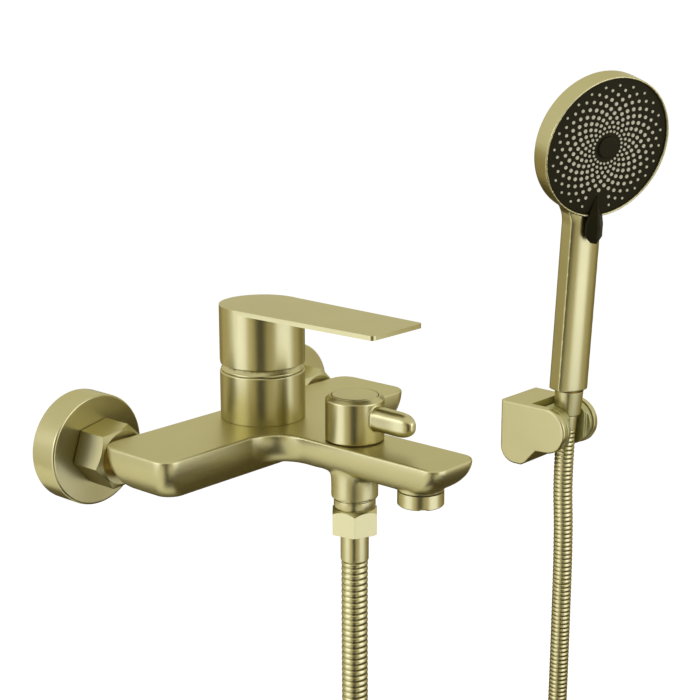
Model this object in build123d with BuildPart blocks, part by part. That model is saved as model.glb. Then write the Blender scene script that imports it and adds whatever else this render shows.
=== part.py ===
from build123d import *
from math import cos, pi, radians, sin, sqrt, tan
import os

# Wall-mounted single-lever bath mixer with a hand shower on a hose and its wall bracket.
# Millimetres. The origin is midway between the two wall inlets, on the face of the wall.
# +Z is up, -Y points away from the wall, +X is to the right of a person facing the wall.

os.makedirs("parts", exist_ok=True)

# Clearances
running_gap = 0.05
free_gap = 0.3
seat_gap = 0.1

# Wall inlets and eccentric unions
inlet_spacing = 150.0
union_eccentricity = 7.5
half_inch_thread_radius = 10.48
three_quarter_thread_radius = 13.2
wall_thread_length = 14.0
wall_bore_radius = 7.0
union_bore_radius = 8.5
union_elbow_depth = 14.0
union_reach = 29.0
axis_z = union_eccentricity

# Escutcheons
escutcheon_radius = 29.7
escutcheon_depth = 17.2
escutcheon_wall = 1.5
escutcheon_edge = 0.8

# Union nuts, washers and inlet tails
union_nut_across_flats = 30.0
union_nut_turn = 11.0
union_nut_length = 20.0
union_nut_chamfer = 2.6
fibre_washer_thickness = 2.0
tail_flange_thickness = 3.0
tail_neck_radius = 10.0
tail_thread_length = 12.3
tail_bore_radius = 7.5

# Mixer body
body_half_length = 93.4
body_rear = 40.7
body_front = 90.2
body_top = 11.8
body_height = 24.3
body_end_undercut = 18.0
body_front_undercut = 17.0
body_rear_undercut = 6.0
body_corner_radius = 9.0
edge_chamfer_width = 0.6
edge_chamfer_height = 0.8
spout_reach = 197.4
spout_half_width = 17.1
spout_height = 17.3
spout_side_undercut = 12.0
spout_tip_undercut = 24.0
spout_tip_corner = 8.0
spout_root_radius = 20.0
inlet_waterway_radius = 5.5
mixed_waterway_radius = 4.5
mixed_waterway_rise = 3.3
port_radius = 4.0

# Cartridge and its covers
cartridge_y = -65.4
cartridge_radius = 17.5
cartridge_floor = 9.5
cartridge_seal_thickness = 0.9
cartridge_base_thickness = 4.0
disc_thickness = 3.0
fixed_disc_radius = 14.5
moving_disc_radius = 11.5
moving_disc_thickness = 4.0
moving_disc_offset = 1.75
housing_inner_radius = 15.0
housing_shoulder = 26.0
housing_neck_radius = 10.0
housing_top = 33.5
carrier_slot_width = 6.6
carrier_slot_length = 15.5
pivot_height = 28.0
pivot_pin_radius = 1.5
stem_side = 6.0
stem_ball_radius = 2.9
stem_ball_drop = 8.0
stem_top = 59.0
stem_socket_depth = 2.5
stem_socket_gap = 0.8
boss_wall = 2.4
boss_top = 36.0
retaining_nut_bore = 12.5
sleeve_radius = 22.8
sleeve_wall = 1.2
sleeve_top = 38.0
bonnet_flange_thickness = 1.3
bonnet_cone_top_radius = 19.4
bonnet_cone_height = 4.8
bonnet_bore_radius = 17.0

# Lever handle
skirt_bottom = 42.3
skirt_wall = 1.5
skirt_rear_cut_start = 12.0
skirt_rear_cut_rise = 6.2
lever_top = 73.5
lever_plate_thickness = 2.4
lever_reach = 159.3
lever_root_half_width = 22.6
lever_tip_half_width = 19.5
lever_tip_corner = 2.5
lever_ceiling = 3.0
stem_boss_radius = 7.0
stem_boss_bottom = 46.0
stem_hole_gap = 0.05
set_screw_height = 54.0
set_screw_radius = 2.4
set_screw_length = 4.5
index_plug_radius = 2.9

# Diverter
diverter_y = -130.9
diverter_chamber_radius = 11.0
diverter_floor = -1.0
diverter_bore_radius = 7.5
diverter_housing_top = 16.0
diverter_nut_radius = 12.8
diverter_nut_top = 17.0
rotor_top = 19.5
spindle_radius = 4.0
spindle_top = 26.5
knob_radius = 15.2
knob_wall = 2.0
knob_top = 35.6
knob_cavity_top = 21.5
knob_lift = 0.5
knob_cap_radius = 12.2
knob_edge_drop = 2.2
knob_cap_thickness = 2.4
knob_screw_radius = 2.0
knob_screw_head_radius = 3.6
knob_screw_length = 11.0
arm_reach = 38.8
arm_height = 13.0
arm_width = 10.4
arm_rise = 25.6
arm_droop = 0.6
o_ring_thickness = 1.6

# Aerator
aerator_y = -174.5
aerator_radius = 11.8
aerator_bottom = -13.3
aerator_boss_bottom = -5.8
aerator_pocket_radius = 9.8
aerator_pocket_top = 1.2
aerator_insert_radius = 8.6
aerator_jet_radius = 0.8

# Hose outlet, nipple and the hose's lower end
outlet_boss_radius = 12.2
outlet_boss_bottom = -19.0
outlet_thread_depth = 8.5
outlet_passage_radius = 4.0
nipple_flange_radius = 10.9
nipple_neck_height = 0.8
nipple_flange_thickness = 5.0
nipple_thread_length = 8.6
nipple_bore_radius = 5.0
hose_nut_across_flats = 23.0
hose_nut_length = 13.4
hose_nut_overlap = 0.8
hose_nut_turn = 41.2
hose_washer_thickness = 1.5
ferrule_flange_thickness = 1.5
ferrule_radius = 7.4
ferrule_length = 16.0
ferrule_bore_radius = 4.4

# Hose
hose_radius = 7.0
hose_root_radius = 6.2
hose_bore_radius = 4.4
hose_rib_pitch = 6.2
hose_plain_end = 1.2

# Wall bracket, its place and its size
bracket_x = 333.7
bracket_drop = 74.0
bracket_pivot_reach = 38.0
bracket_width = 44.5
cheek_radius = 16.7
cheek_thickness = 5.2
bracket_block_depth = 23.0
bracket_block_drop = 29.5
heel_front = 30.5
heel_step = 17.2
heel_low_front = 22.0
bracket_heel_radius = 12.0
bracket_edge = 1.0
pocket_width = 33.0
pocket_height = 24.0
pocket_depth = 12.0
wall_plate_thickness = 3.0
screw_spacing = 18.0
screw_hole_radius = 2.25
pivot_stub_radius = 4.0
pivot_stub_depth = 4.2
friction_washer_radius = 9.0
friction_washer_thickness = 0.6
clamp_screw_radius = 2.0
clamp_screw_length = 7.0

# Cradle that holds the hand shower
cradle_radius = 16.2
cradle_clearance = 0.6
cradle_slot_width = 18.4
cradle_front_reach = 13.0
cradle_disc_thickness = 4.0
cradle_bore_radius = 8.8
cone_axis_forward = 4.0
cone_lean = 2.85
cone_seat_bottom = 6.0

# Hand shower's conical nut and the hose's upper end, heights along the cone's axis
nut_bottom = 9.5
nut_bottom_radius = 9.3
nut_top_radius = 10.2
nut_web = 1.9
handset_thread_radius = 8.3
handset_thread_length = 12.0
upper_ferrule_top_radius = 7.4
upper_ferrule_bottom_radius = 7.0
upper_ferrule_bottom = -1.6
upper_ferrule_flange_radius = 8.1

# Hand shower
handset_swivel = 21.0
handle_bottom = 27.5
handle_half_width = 12.7
handle_front = 8.7
handle_back = 8.7
handle_side_front = 4.4
handle_back_corner = 3.0
neck_length = 14.0
neck_overlap = 2.2
neck_half_width = 17.5
shoulder_overlap = 6.6
shoulder_half_width = 25.0
spine_drop = 14.6
spine_half_width = 9.0
handle_bore_radius = 6.4
head_height = 206.6
head_forward = 4.9
head_tilt = 11.0
head_radius = 49.7
head_thickness = 18.0
head_dome = 4.5
head_wall = 1.6
head_back_wall = 3.2
head_back_corner = 5.0
pipe_radius = 5.2
pipe_bore_radius = 3.8
pipe_head_gap = 2.8
passage_radius = 2.0
passage_forward = 1.2
passage_length = 6.0
inlet_insert_depth = 13.0
inlet_bore_radius = 5.0
chamber_thickness = 4.2
chamber_inlet_radius = 3.4
selector_disc_thickness = 2.0
selector_disc_rim = 2.0
selector_disc_gap = 2.4
nozzle_mat_thickness = 1.4
nozzle_mat_gap = 0.9
faceplate_thickness = 2.4
faceplate_inset = 1.7
faceplate_skirt_wall = 1.4
face_running_gap = 0.25
nozzles_per_ring = 24
nozzle_rings = 11
nozzle_first_ring = 11.4
nozzle_rim_margin = 2.35
nozzle_small_radius = 0.85
nozzle_large_radius = 1.35
nozzle_proud = 0.5
nozzle_hole_gap = 0.12
face_screw_radius = 2.5
face_cap_radius = 7.6
face_cap_thickness = 1.2
selector_half_width = 6.8
selector_inset = 14.7
selector_overhang = 16.8
selector_height = 9.9
selector_foot = 10.0

# Hose route, chosen by hand. The long stretch hangs in the upright plane between the mixer's
# outlet and the bracket: distance along that plane and height above the wall inlets.
hose_long_route = [
    (0.0, -150.0), (6.0, -290.0), (26.0, -430.0), (76.0, -543.0), (172.0, -608.0),
    (268.0, -543.0), (319.0, -456.0), (340.0, -366.0), (345.11, -276.0),
]
hose_meeting_height = -186.0
# The short stretch hangs below the cradle: distance out from the wall and height.
hose_short_route = [(42.9, -147.0)]
hose_straight_top = 38.0
hose_end_gap = 0.1


def outward_section(x, z):
    """Plane for turning about a line that leaves the wall: first axis radial, second outward."""
    return Plane(origin=(x, 0, z), x_dir=(1, 0, 0), z_dir=(0, 0, -1))


def upright_section(x, y):
    """Plane for turning about an upright line, with heights above the inlets' centre line."""
    return Plane(origin=(x, y, axis_z), x_dir=(1, 0, 0), z_dir=(0, -1, 0))


def across(x, y, z):
    """Plane square to X, extruding towards +X, with its first axis towards the wall."""
    return Plane(origin=(x, y, z), x_dir=(0, 1, 0), z_dir=(1, 0, 0))


def level(height, x=0.0, y=0.0):
    """Level plane at a height above the inlets' centre line."""
    return Plane(origin=(x, y, axis_z + height))


def facing(x, z, outward):
    """Plane parallel to the wall at a distance out from it, extruding away from the wall."""
    return Plane(origin=(x, -outward, z), x_dir=(1, 0, 0), z_dir=(0, -1, 0))


def turned(plane, outline):
    """A round piece: a closed outline of (radius, height) turned about the plane's second axis."""
    with BuildPart() as piece:
        with BuildSketch(plane):
            with BuildLine():
                Polyline(*outline, close=True)
            make_face()
        revolve(axis=Axis(plane.origin, plane.y_dir))
    return piece


def tube_outline(outer, inner, bottom, top):
    """Outline of a plain ring or tube."""
    return [(inner, bottom), (outer, bottom), (outer, top), (inner, top)]


def save(piece, name):
    """Label a finished piece and write it under its own name."""
    piece.part.label = name
    export_step(piece.part, f"parts/{name}.step")


# Derived places of the inlet stack, measured outward from the wall
union_nut_rear = escutcheon_depth + 0.5
union_nut_front = union_nut_rear + union_nut_length
tail_flange_rear = union_reach + fibre_washer_thickness
tail_flange_front = tail_flange_rear + tail_flange_thickness
tail_flange_radius = three_quarter_thread_radius - free_gap

for side, x in (("left", -inlet_spacing / 2), ("right", inlet_spacing / 2)):
    # Escutcheon: a drum open to the wall, with a hole for the union and a rolled front rim
    hole = three_quarter_thread_radius + free_gap
    inner = escutcheon_radius - escutcheon_wall
    floor = escutcheon_depth - escutcheon_wall
    escutcheon = turned(outward_section(x, axis_z), [
        (inner, 0), (escutcheon_radius, 0),
        (escutcheon_radius, escutcheon_depth - escutcheon_edge),
        (escutcheon_radius - escutcheon_edge, escutcheon_depth),
        (hole, escutcheon_depth), (hole, floor), (inner, floor),
    ])
    save(escutcheon, f"escutcheon_{side}")

    # Eccentric union: half-inch thread into the wall, three-quarter-inch thread for the nut
    with BuildPart() as s_union:
        with BuildSketch(facing(x, 0, -wall_thread_length)):
            Circle(half_inch_thread_radius)
        extrude(amount=wall_thread_length + 1)
        with BuildSketch(facing(x, 0, 0)):
            Circle(three_quarter_thread_radius)
            with Locations((0, union_eccentricity)):
                Circle(three_quarter_thread_radius)
            make_hull()
        extrude(amount=union_elbow_depth)
        with BuildSketch(facing(x, axis_z, union_elbow_depth)):
            Circle(three_quarter_thread_radius)
        extrude(amount=union_reach - union_elbow_depth)
        with BuildSketch(facing(x, 0, -wall_thread_length)):
            Circle(wall_bore_radius)
        extrude(amount=wall_thread_length + union_elbow_depth / 2, mode=Mode.SUBTRACT)
        with BuildSketch(facing(x, axis_z, union_elbow_depth / 3)):
            Circle(union_bore_radius)
        extrude(amount=union_reach, mode=Mode.SUBTRACT)
    save(s_union, f"s_union_{side}")

    # Union nut: hexagon with its front corners turned off, held by the tail's flange
    corner = union_nut_across_flats / sqrt(3)
    with BuildPart() as union_nut:
        with BuildSketch(facing(x, axis_z, union_nut_rear)):
            RegularPolygon(corner, 6, rotation=union_nut_turn)
        extrude(amount=union_nut_length)
        with BuildSketch(outward_section(x, axis_z)):
            with BuildLine():
                Polyline(
                    (0, union_nut_rear), (corner, union_nut_rear),
                    (corner, union_nut_front - union_nut_chamfer),
                    (union_nut_across_flats / 2 - 1, union_nut_front), (0, union_nut_front),
                    close=True,
                )
            make_face()
        revolve(axis=Axis((x, 0, axis_z), (0, -1, 0)), mode=Mode.INTERSECT)
        with BuildSketch(facing(x, axis_z, union_nut_rear)):
            Circle(three_quarter_thread_radius + running_gap)
        extrude(amount=tail_flange_front + seat_gap - union_nut_rear, mode=Mode.SUBTRACT)
        with BuildSketch(facing(x, axis_z, union_nut_rear)):
            Circle(tail_neck_radius + seat_gap)
        extrude(amount=union_nut_length, mode=Mode.SUBTRACT)
    save(union_nut, f"union_nut_{side}")

    # Inlet tail: flange, neck and the thread that holds it in the body
    tail_end = body_rear + tail_thread_length
    inlet_tail = turned(outward_section(x, axis_z), [
        (tail_bore_radius, tail_flange_rear), (tail_flange_radius, tail_flange_rear),
        (tail_flange_radius, tail_flange_front), (tail_neck_radius, tail_flange_front),
        (tail_neck_radius, tail_end), (tail_bore_radius, tail_end),
    ])
    save(inlet_tail, f"inlet_tail_{side}")

# Fibre washers between the unions and the tails
with BuildPart() as union_washers:
    for x in (-inlet_spacing / 2, inlet_spacing / 2):
        with BuildSketch(facing(x, axis_z, union_reach)):
            Circle(tail_flange_radius)
            Circle(union_bore_radius, mode=Mode.SUBTRACT)
        extrude(amount=fibre_washer_thickness)
save(union_washers, "union_washers")


def undercut(depth, height, amount):
    """How far a side has curved inwards at a depth below the top edge, along an ellipse."""
    share = min(depth / height, 1.0)
    return amount * (1 - sqrt(1 - share * share))


def bar_outline(depth, inset):
    """Level outline of the crossbar at a depth below its top face."""
    half_length = body_half_length - undercut(depth, body_height, body_end_undercut) - inset
    front = body_front - undercut(depth, body_height, body_front_undercut) - inset
    rear = body_rear + undercut(depth, body_height, body_rear_undercut) + inset
    with Locations((0, -(front + rear) / 2)):
        RectangleRounded(2 * half_length, front - rear, body_corner_radius)


def spout_outline(depth, inset):
    """Level outline of the spout with its flared root, at a depth below the top face."""
    half_width = spout_half_width - undercut(depth, spout_height, spout_side_undercut) - inset
    tip = -(spout_reach - undercut(depth, spout_height, spout_tip_undercut) - inset)
    face = -(body_front - undercut(depth, body_height, body_front_undercut) - inset) + free_gap
    root = face + spout_root_radius / 2
    corner = min(spout_tip_corner, half_width - 1)
    flare = half_width + spout_root_radius
    bend = spout_root_radius * (1 - cos(pi / 4))
    round_off = corner * (1 - cos(pi / 4))
    with BuildLine() as outline:
        Line((-flare, root), (flare, root))
        Line((flare, root), (flare, face))
        ThreePointArc(
            (flare, face), (half_width + bend, face - bend), (half_width, face - spout_root_radius)
        )
        Line((half_width, face - spout_root_radius), (half_width, tip + corner))
        ThreePointArc(
            (half_width, tip + corner), (half_width - round_off, tip + round_off),
            (half_width - corner, tip),
        )
        Line((half_width - corner, tip), (corner - half_width, tip))
        ThreePointArc(
            (corner - half_width, tip), (round_off - half_width, tip + round_off),
            (-half_width, tip + corner),
        )
        Line((-half_width, tip + corner), (-half_width, face - spout_root_radius))
        ThreePointArc(
            (-half_width, face - spout_root_radius), (-half_width - bend, face - bend),
            (-flare, face),
        )
        Line((-flare, face), (-flare, root))
    make_face(outline.edges())


# Shares of the height at which the curved sides are drawn
side_levels = (0.0, 0.3, 0.55, 0.75, 0.89, 0.97, 1.0)
boss_radius = cartridge_radius + running_gap + boss_wall
cartridge_bore = cartridge_radius + running_gap
seal_radius = port_radius + 1.6
port_places = [(-9.0, cartridge_y + 4.0), (9.0, cartridge_y + 4.0)]
mixed_port_y = cartridge_y - 9.0

# Mixer body: one brass casting with drilled waterways
with BuildPart() as mixer_body:
    for outline, height in ((bar_outline, body_height), (spout_outline, spout_height)):
        # Bevel along the top edge
        with BuildSketch(level(body_top)):
            outline(0.0, edge_chamfer_width)
        with BuildSketch(level(body_top - edge_chamfer_height)):
            outline(0.0, 0.0)
        loft(ruled=True)
        # Sides that curve under
        side_height = height - edge_chamfer_height
        for share in side_levels:
            with BuildSketch(level(body_top - edge_chamfer_height - share * side_height)):
                outline(share * side_height, 0.0)
        loft()
    # Boss round the cartridge
    with BuildSketch(level(0, 0, cartridge_y)):
        Circle(boss_radius)
    extrude(amount=boss_top)
    # Boss for the hose outlet
    with BuildSketch(level(outlet_boss_bottom, 0, diverter_y)):
        Circle(outlet_boss_radius)
    extrude(amount=-outlet_boss_bottom)
    # Boss for the aerator
    with BuildSketch(level(aerator_boss_bottom, 0, aerator_y)):
        Circle(aerator_radius)
    extrude(amount=-aerator_boss_bottom)
    # Seat of the cartridge
    with BuildSketch(level(cartridge_floor, 0, cartridge_y)):
        Circle(cartridge_bore)
    extrude(amount=boss_top, mode=Mode.SUBTRACT)
    for x, y in port_places:
        side = 1 if x > 0 else -1
        # Threaded inlet, inlet waterway and the port under the cartridge
        with BuildSketch(facing(side * inlet_spacing / 2, axis_z, body_rear - 1)):
            Circle(tail_neck_radius + running_gap)
        extrude(amount=tail_thread_length + 1 + seat_gap, mode=Mode.SUBTRACT)
        with BuildSketch(facing(side * inlet_spacing / 2, axis_z, body_rear)):
            Circle(tail_bore_radius)
        extrude(amount=-y - body_rear + inlet_waterway_radius, mode=Mode.SUBTRACT)
        with BuildSketch(Plane(origin=(x, y, axis_z), x_dir=(0, 1, 0), z_dir=(side, 0, 0))):
            Circle(inlet_waterway_radius)
        extrude(amount=inlet_spacing / 2 - abs(x), mode=Mode.SUBTRACT)
        with BuildSketch(level(0, x, y)):
            Circle(port_radius)
        extrude(amount=cartridge_floor + 1, mode=Mode.SUBTRACT)
    # Mixed water: port, waterway to the diverter and on to the aerator
    with BuildSketch(level(mixed_waterway_rise, 0, mixed_port_y)):
        Circle(port_radius)
    extrude(amount=cartridge_floor, mode=Mode.SUBTRACT)
    with BuildSketch(facing(0, axis_z + mixed_waterway_rise, -mixed_port_y)):
        Circle(mixed_waterway_radius)
    extrude(amount=mixed_port_y - aerator_y, mode=Mode.SUBTRACT)
    # Diverter chamber, passage to the hose and the outlet's thread
    with BuildSketch(level(diverter_floor, 0, diverter_y)):
        Circle(diverter_chamber_radius + running_gap)
    extrude(amount=body_top - diverter_floor + 1, mode=Mode.SUBTRACT)
    with BuildSketch(level(outlet_boss_bottom, 0, diverter_y)):
        Circle(outlet_passage_radius)
    extrude(amount=diverter_floor - outlet_boss_bottom, mode=Mode.SUBTRACT)
    with BuildSketch(level(outlet_boss_bottom, 0, diverter_y)):
        Circle(half_inch_thread_radius + running_gap)
    extrude(amount=outlet_thread_depth, mode=Mode.SUBTRACT)
    # Pocket for the aerator
    with BuildSketch(level(aerator_boss_bottom, 0, aerator_y)):
        Circle(aerator_pocket_radius)
    extrude(amount=aerator_pocket_top - aerator_boss_bottom, mode=Mode.SUBTRACT)
save(mixer_body, "mixer_body")

# Cartridge: everything stands on the floor of the seat
base_bottom = cartridge_floor + cartridge_seal_thickness
base_top = base_bottom + cartridge_base_thickness
fixed_disc_top = base_top + disc_thickness
moving_disc_bottom = fixed_disc_top + running_gap
moving_disc_top = moving_disc_bottom + moving_disc_thickness
carrier_bottom = moving_disc_top + 0.2
carrier_top = housing_top - 0.5
all_ports = port_places + [(0.0, mixed_port_y)]

with BuildPart() as cartridge_seals:
    with BuildSketch(level(cartridge_floor)):
        with Locations(*all_ports):
            Circle(seal_radius)
        with Locations(*all_ports):
            Circle(port_radius + 0.2, mode=Mode.SUBTRACT)
    extrude(amount=cartridge_seal_thickness)
save(cartridge_seals, "cartridge_seals")

with BuildPart() as cartridge_base:
    with BuildSketch(level(base_bottom)):
        with Locations((0, cartridge_y)):
            Circle(cartridge_radius)
        with Locations(*all_ports):
            Circle(port_radius, mode=Mode.SUBTRACT)
    extrude(amount=cartridge_base_thickness)
save(cartridge_base, "cartridge_base")

with BuildPart() as fixed_disc:
    with BuildSketch(level(base_top)):
        with Locations((0, cartridge_y)):
            Circle(fixed_disc_radius)
        with Locations(*all_ports):
            Circle(port_radius - 0.4, mode=Mode.SUBTRACT)
    extrude(amount=disc_thickness)
save(fixed_disc, "fixed_disc")

# Moving disc: a mixing hollow below and a socket for the stem's ball above
with BuildPart() as moving_disc:
    with BuildSketch(level(moving_disc_bottom)):
        with Locations((0, cartridge_y + moving_disc_offset)):
            Circle(moving_disc_radius)
    extrude(amount=moving_disc_thickness)
    with BuildSketch(level(moving_disc_top)):
        with Locations((0, cartridge_y)):
            Circle(stem_ball_radius + stem_socket_gap)
    extrude(amount=-stem_socket_depth, mode=Mode.SUBTRACT)
    with BuildSketch(level(moving_disc_bottom)):
        with Locations((0, cartridge_y - moving_disc_radius / 2)):
            SlotCenterToCenter(moving_disc_radius, disc_thickness)
    extrude(amount=disc_thickness / 3, mode=Mode.SUBTRACT)
save(moving_disc, "moving_disc")

# Cartridge housing: a cup upside down with a neck for the stem carrier
cartridge_housing = turned(upright_section(0, cartridge_y), [
    (housing_inner_radius, base_top), (cartridge_radius, base_top),
    (cartridge_radius, housing_top), (housing_neck_radius, housing_top),
    (housing_neck_radius, housing_shoulder), (housing_inner_radius, housing_shoulder),
])
save(cartridge_housing, "cartridge_housing")

# Stem carrier: turns in the housing and carries the pin on which the stem tips
with BuildPart() as stem_carrier:
    with BuildSketch(level(carrier_bottom, 0, cartridge_y)):
        Circle(housing_inner_radius - free_gap)
    extrude(amount=housing_shoulder - free_gap - carrier_bottom)
    with BuildSketch(level(carrier_bottom, 0, cartridge_y)):
        Circle(housing_neck_radius - running_gap)
    extrude(amount=carrier_top - carrier_bottom)
    with BuildSketch(level(carrier_bottom, 0, cartridge_y)):
        Rectangle(carrier_slot_width, carrier_slot_length)
    extrude(amount=carrier_top - carrier_bottom, mode=Mode.SUBTRACT)
    with BuildSketch(across(0, cartridge_y, axis_z + pivot_height)):
        Circle(pivot_pin_radius)
    extrude(amount=cartridge_radius, both=True, mode=Mode.SUBTRACT)
save(stem_carrier, "stem_carrier")

with BuildPart() as lever_pivot_pin:
    with BuildSketch(across(0, cartridge_y, axis_z + pivot_height)):
        Circle(pivot_pin_radius)
    extrude(amount=housing_neck_radius - 1, both=True)
save(lever_pivot_pin, "lever_pivot_pin")

# Stem: a square bar that tips on the pin, with a rounded foot in the moving disc
stem_bar_bottom = moving_disc_top + 1.2
with BuildPart() as cartridge_stem:
    with BuildSketch(level(stem_bar_bottom, 0, cartridge_y)):
        Rectangle(stem_side, stem_side)
    extrude(amount=stem_top - stem_bar_bottom)
    with BuildSketch(level(pivot_height - stem_ball_drop - 0.7, 0, cartridge_y)):
        Circle(stem_ball_radius - 0.3)
    extrude(amount=stem_bar_bottom - pivot_height + stem_ball_drop + 0.7)
    with BuildSketch(across(0, cartridge_y, axis_z + pivot_height)):
        Circle(pivot_pin_radius + running_gap)
    extrude(amount=stem_side, both=True, mode=Mode.SUBTRACT)
save(cartridge_stem, "cartridge_stem")

# Retaining nut that clamps the cartridge, with four key slots
with BuildPart() as retaining_nut:
    with BuildSketch(level(housing_top, 0, cartridge_y)):
        Circle(cartridge_bore - running_gap)
        Circle(retaining_nut_bore, mode=Mode.SUBTRACT)
        with PolarLocations(retaining_nut_bore, 4):
            Rectangle(3, 3, mode=Mode.SUBTRACT)
    extrude(amount=sleeve_top - 0.5 - housing_top)
save(retaining_nut, "retaining_nut")

# Sleeve: the lower half of the visible column
sleeve_inner = sleeve_radius - sleeve_wall
cartridge_sleeve = turned(upright_section(0, cartridge_y), [
    (sleeve_inner, body_top), (sleeve_radius, body_top), (sleeve_radius, sleeve_top - 0.6),
    (sleeve_radius - 0.6, sleeve_top), (sleeve_inner, sleeve_top),
])
save(cartridge_sleeve, "cartridge_sleeve")

# Bonnet ring: threaded skirt inside the sleeve, flange on its rim and a cone above
bonnet_flange_top = sleeve_top + seat_gap + bonnet_flange_thickness
bonnet_ring = turned(upright_section(0, cartridge_y), [
    (boss_radius + running_gap, boss_top - 5.0), (sleeve_inner - seat_gap, boss_top - 5.0),
    (sleeve_inner - seat_gap, sleeve_top + seat_gap), (sleeve_radius - 0.5, sleeve_top + seat_gap),
    (sleeve_radius - 0.5, bonnet_flange_top - 0.4), (sleeve_radius - 0.9, bonnet_flange_top),
    (bonnet_cone_top_radius, bonnet_flange_top + bonnet_cone_height),
    (bonnet_bore_radius, bonnet_flange_top + bonnet_cone_height),
    (bonnet_bore_radius, sleeve_top), (boss_radius + running_gap, boss_top + seat_gap),
])
save(bonnet_ring, "bonnet_ring")

# Lever handle: a hollow skirt under a flat plate that runs forward
tip_y = -lever_reach
skirt_inner = sleeve_radius - skirt_wall
plate_bottom = lever_top - lever_plate_thickness
cut_slope = skirt_rear_cut_rise / (sleeve_radius - skirt_rear_cut_start)
with BuildPart() as lever_handle:
    with BuildSketch(level(skirt_bottom, 0, cartridge_y)):
        Circle(sleeve_radius)
    extrude(amount=lever_top - skirt_bottom)
    with BuildSketch(level(skirt_bottom, 0, cartridge_y)):
        Circle(skirt_inner)
    extrude(amount=plate_bottom - lever_ceiling - skirt_bottom, mode=Mode.SUBTRACT)
    with BuildSketch(level(stem_boss_bottom, 0, cartridge_y)):
        Circle(stem_boss_radius)
    extrude(amount=plate_bottom - stem_boss_bottom)
    with BuildSketch(level(stem_boss_bottom, 0, cartridge_y)):
        Rectangle(stem_side + 2 * stem_hole_gap, stem_side + 2 * stem_hole_gap)
    extrude(amount=stem_top + 1 - stem_boss_bottom, mode=Mode.SUBTRACT)
    # Slanted relief at the rear of the skirt's rim, which lets the lever tip back
    with BuildSketch(across(-2 * sleeve_radius, cartridge_y, axis_z)):
        with BuildLine():
            Polyline(
                (skirt_rear_cut_start - 2 / cut_slope, skirt_bottom - 2),
                (2 * sleeve_radius, skirt_bottom - 2),
                (2 * sleeve_radius,
                 skirt_bottom + cut_slope * (2 * sleeve_radius - skirt_rear_cut_start)),
                close=True,
            )
        make_face()
    extrude(amount=4 * sleeve_radius, mode=Mode.SUBTRACT)
    # Holes for the set screw and, in the skirt's wall, for the index plug
    screw_plane = facing(0, axis_z + set_screw_height, -cartridge_y - sleeve_radius - 1)
    with BuildSketch(screw_plane):
        Circle(index_plug_radius + running_gap)
    extrude(amount=sleeve_radius - stem_boss_radius, mode=Mode.SUBTRACT)
    with BuildSketch(screw_plane):
        Circle(set_screw_radius + running_gap)
    extrude(amount=sleeve_radius + 1, mode=Mode.SUBTRACT)
    # Flat plate, from inside the skirt's round out to the rounded tip
    with BuildSketch(level(plate_bottom)):
        with BuildLine():
            inset = lever_tip_corner * (1 - cos(pi / 4))
            root_left = (-lever_root_half_width, cartridge_y)
            root_right = (lever_root_half_width, cartridge_y)
            side_left = (-lever_tip_half_width, tip_y + lever_tip_corner)
            side_right = (lever_tip_half_width, tip_y + lever_tip_corner)
            end_left = (lever_tip_corner - lever_tip_half_width, tip_y)
            end_right = (lever_tip_half_width - lever_tip_corner, tip_y)
            Line(root_left, root_right)
            Line(root_right, side_right)
            ThreePointArc(side_right, (lever_tip_half_width - inset, tip_y + inset), end_right)
            Line(end_right, end_left)
            ThreePointArc(end_left, (inset - lever_tip_half_width, tip_y + inset), side_left)
            Line(side_left, root_left)
        make_face()
    extrude(amount=lever_plate_thickness)
save(lever_handle, "lever_handle")

with BuildPart() as handle_set_screw:
    start = -cartridge_y - stem_side / 2 - set_screw_length
    with BuildSketch(facing(0, axis_z + set_screw_height, start)):
        Circle(set_screw_radius)
    extrude(amount=set_screw_length)
    with BuildSketch(facing(0, axis_z + set_screw_height, start)):
        RegularPolygon(set_screw_radius / 2, 6)
    extrude(amount=set_screw_length / 2, mode=Mode.SUBTRACT)
save(handle_set_screw, "handle_set_screw")

with BuildPart() as index_plug:
    with BuildSketch(facing(0, axis_z + set_screw_height, -cartridge_y - sleeve_radius)):
        Circle(index_plug_radius)
    extrude(amount=skirt_wall)
save(index_plug, "index_plug")

# Diverter: housing with side windows, seals, nut, rotor, knob, screw and cap
with BuildPart() as diverter_housing:
    with BuildSketch(level(diverter_floor, 0, diverter_y)):
        Circle(diverter_chamber_radius)
        Circle(diverter_bore_radius, mode=Mode.SUBTRACT)
    extrude(amount=diverter_housing_top - diverter_floor)
    with BuildSketch(facing(0, axis_z + mixed_waterway_rise, -diverter_y)):
        Circle(diverter_bore_radius / 2)
    extrude(amount=2 * diverter_chamber_radius, both=True, mode=Mode.SUBTRACT)
    for height in (diverter_floor + o_ring_thickness / 2 + 0.2, body_top - 2.4):
        with BuildSketch(level(height - o_ring_thickness / 2, 0, diverter_y)):
            Circle(diverter_chamber_radius + 1)
            Circle(diverter_chamber_radius - o_ring_thickness, mode=Mode.SUBTRACT)
        extrude(amount=o_ring_thickness, mode=Mode.SUBTRACT)
save(diverter_housing, "diverter_housing")

with BuildPart() as diverter_o_rings:
    for height in (diverter_floor + o_ring_thickness / 2 + 0.2, body_top - 2.4):
        with BuildSketch(level(height - o_ring_thickness / 2, 0, diverter_y)):
            Circle(diverter_chamber_radius)
            Circle(diverter_chamber_radius - o_ring_thickness, mode=Mode.SUBTRACT)
        extrude(amount=o_ring_thickness)
save(diverter_o_rings, "diverter_o_rings")

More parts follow.
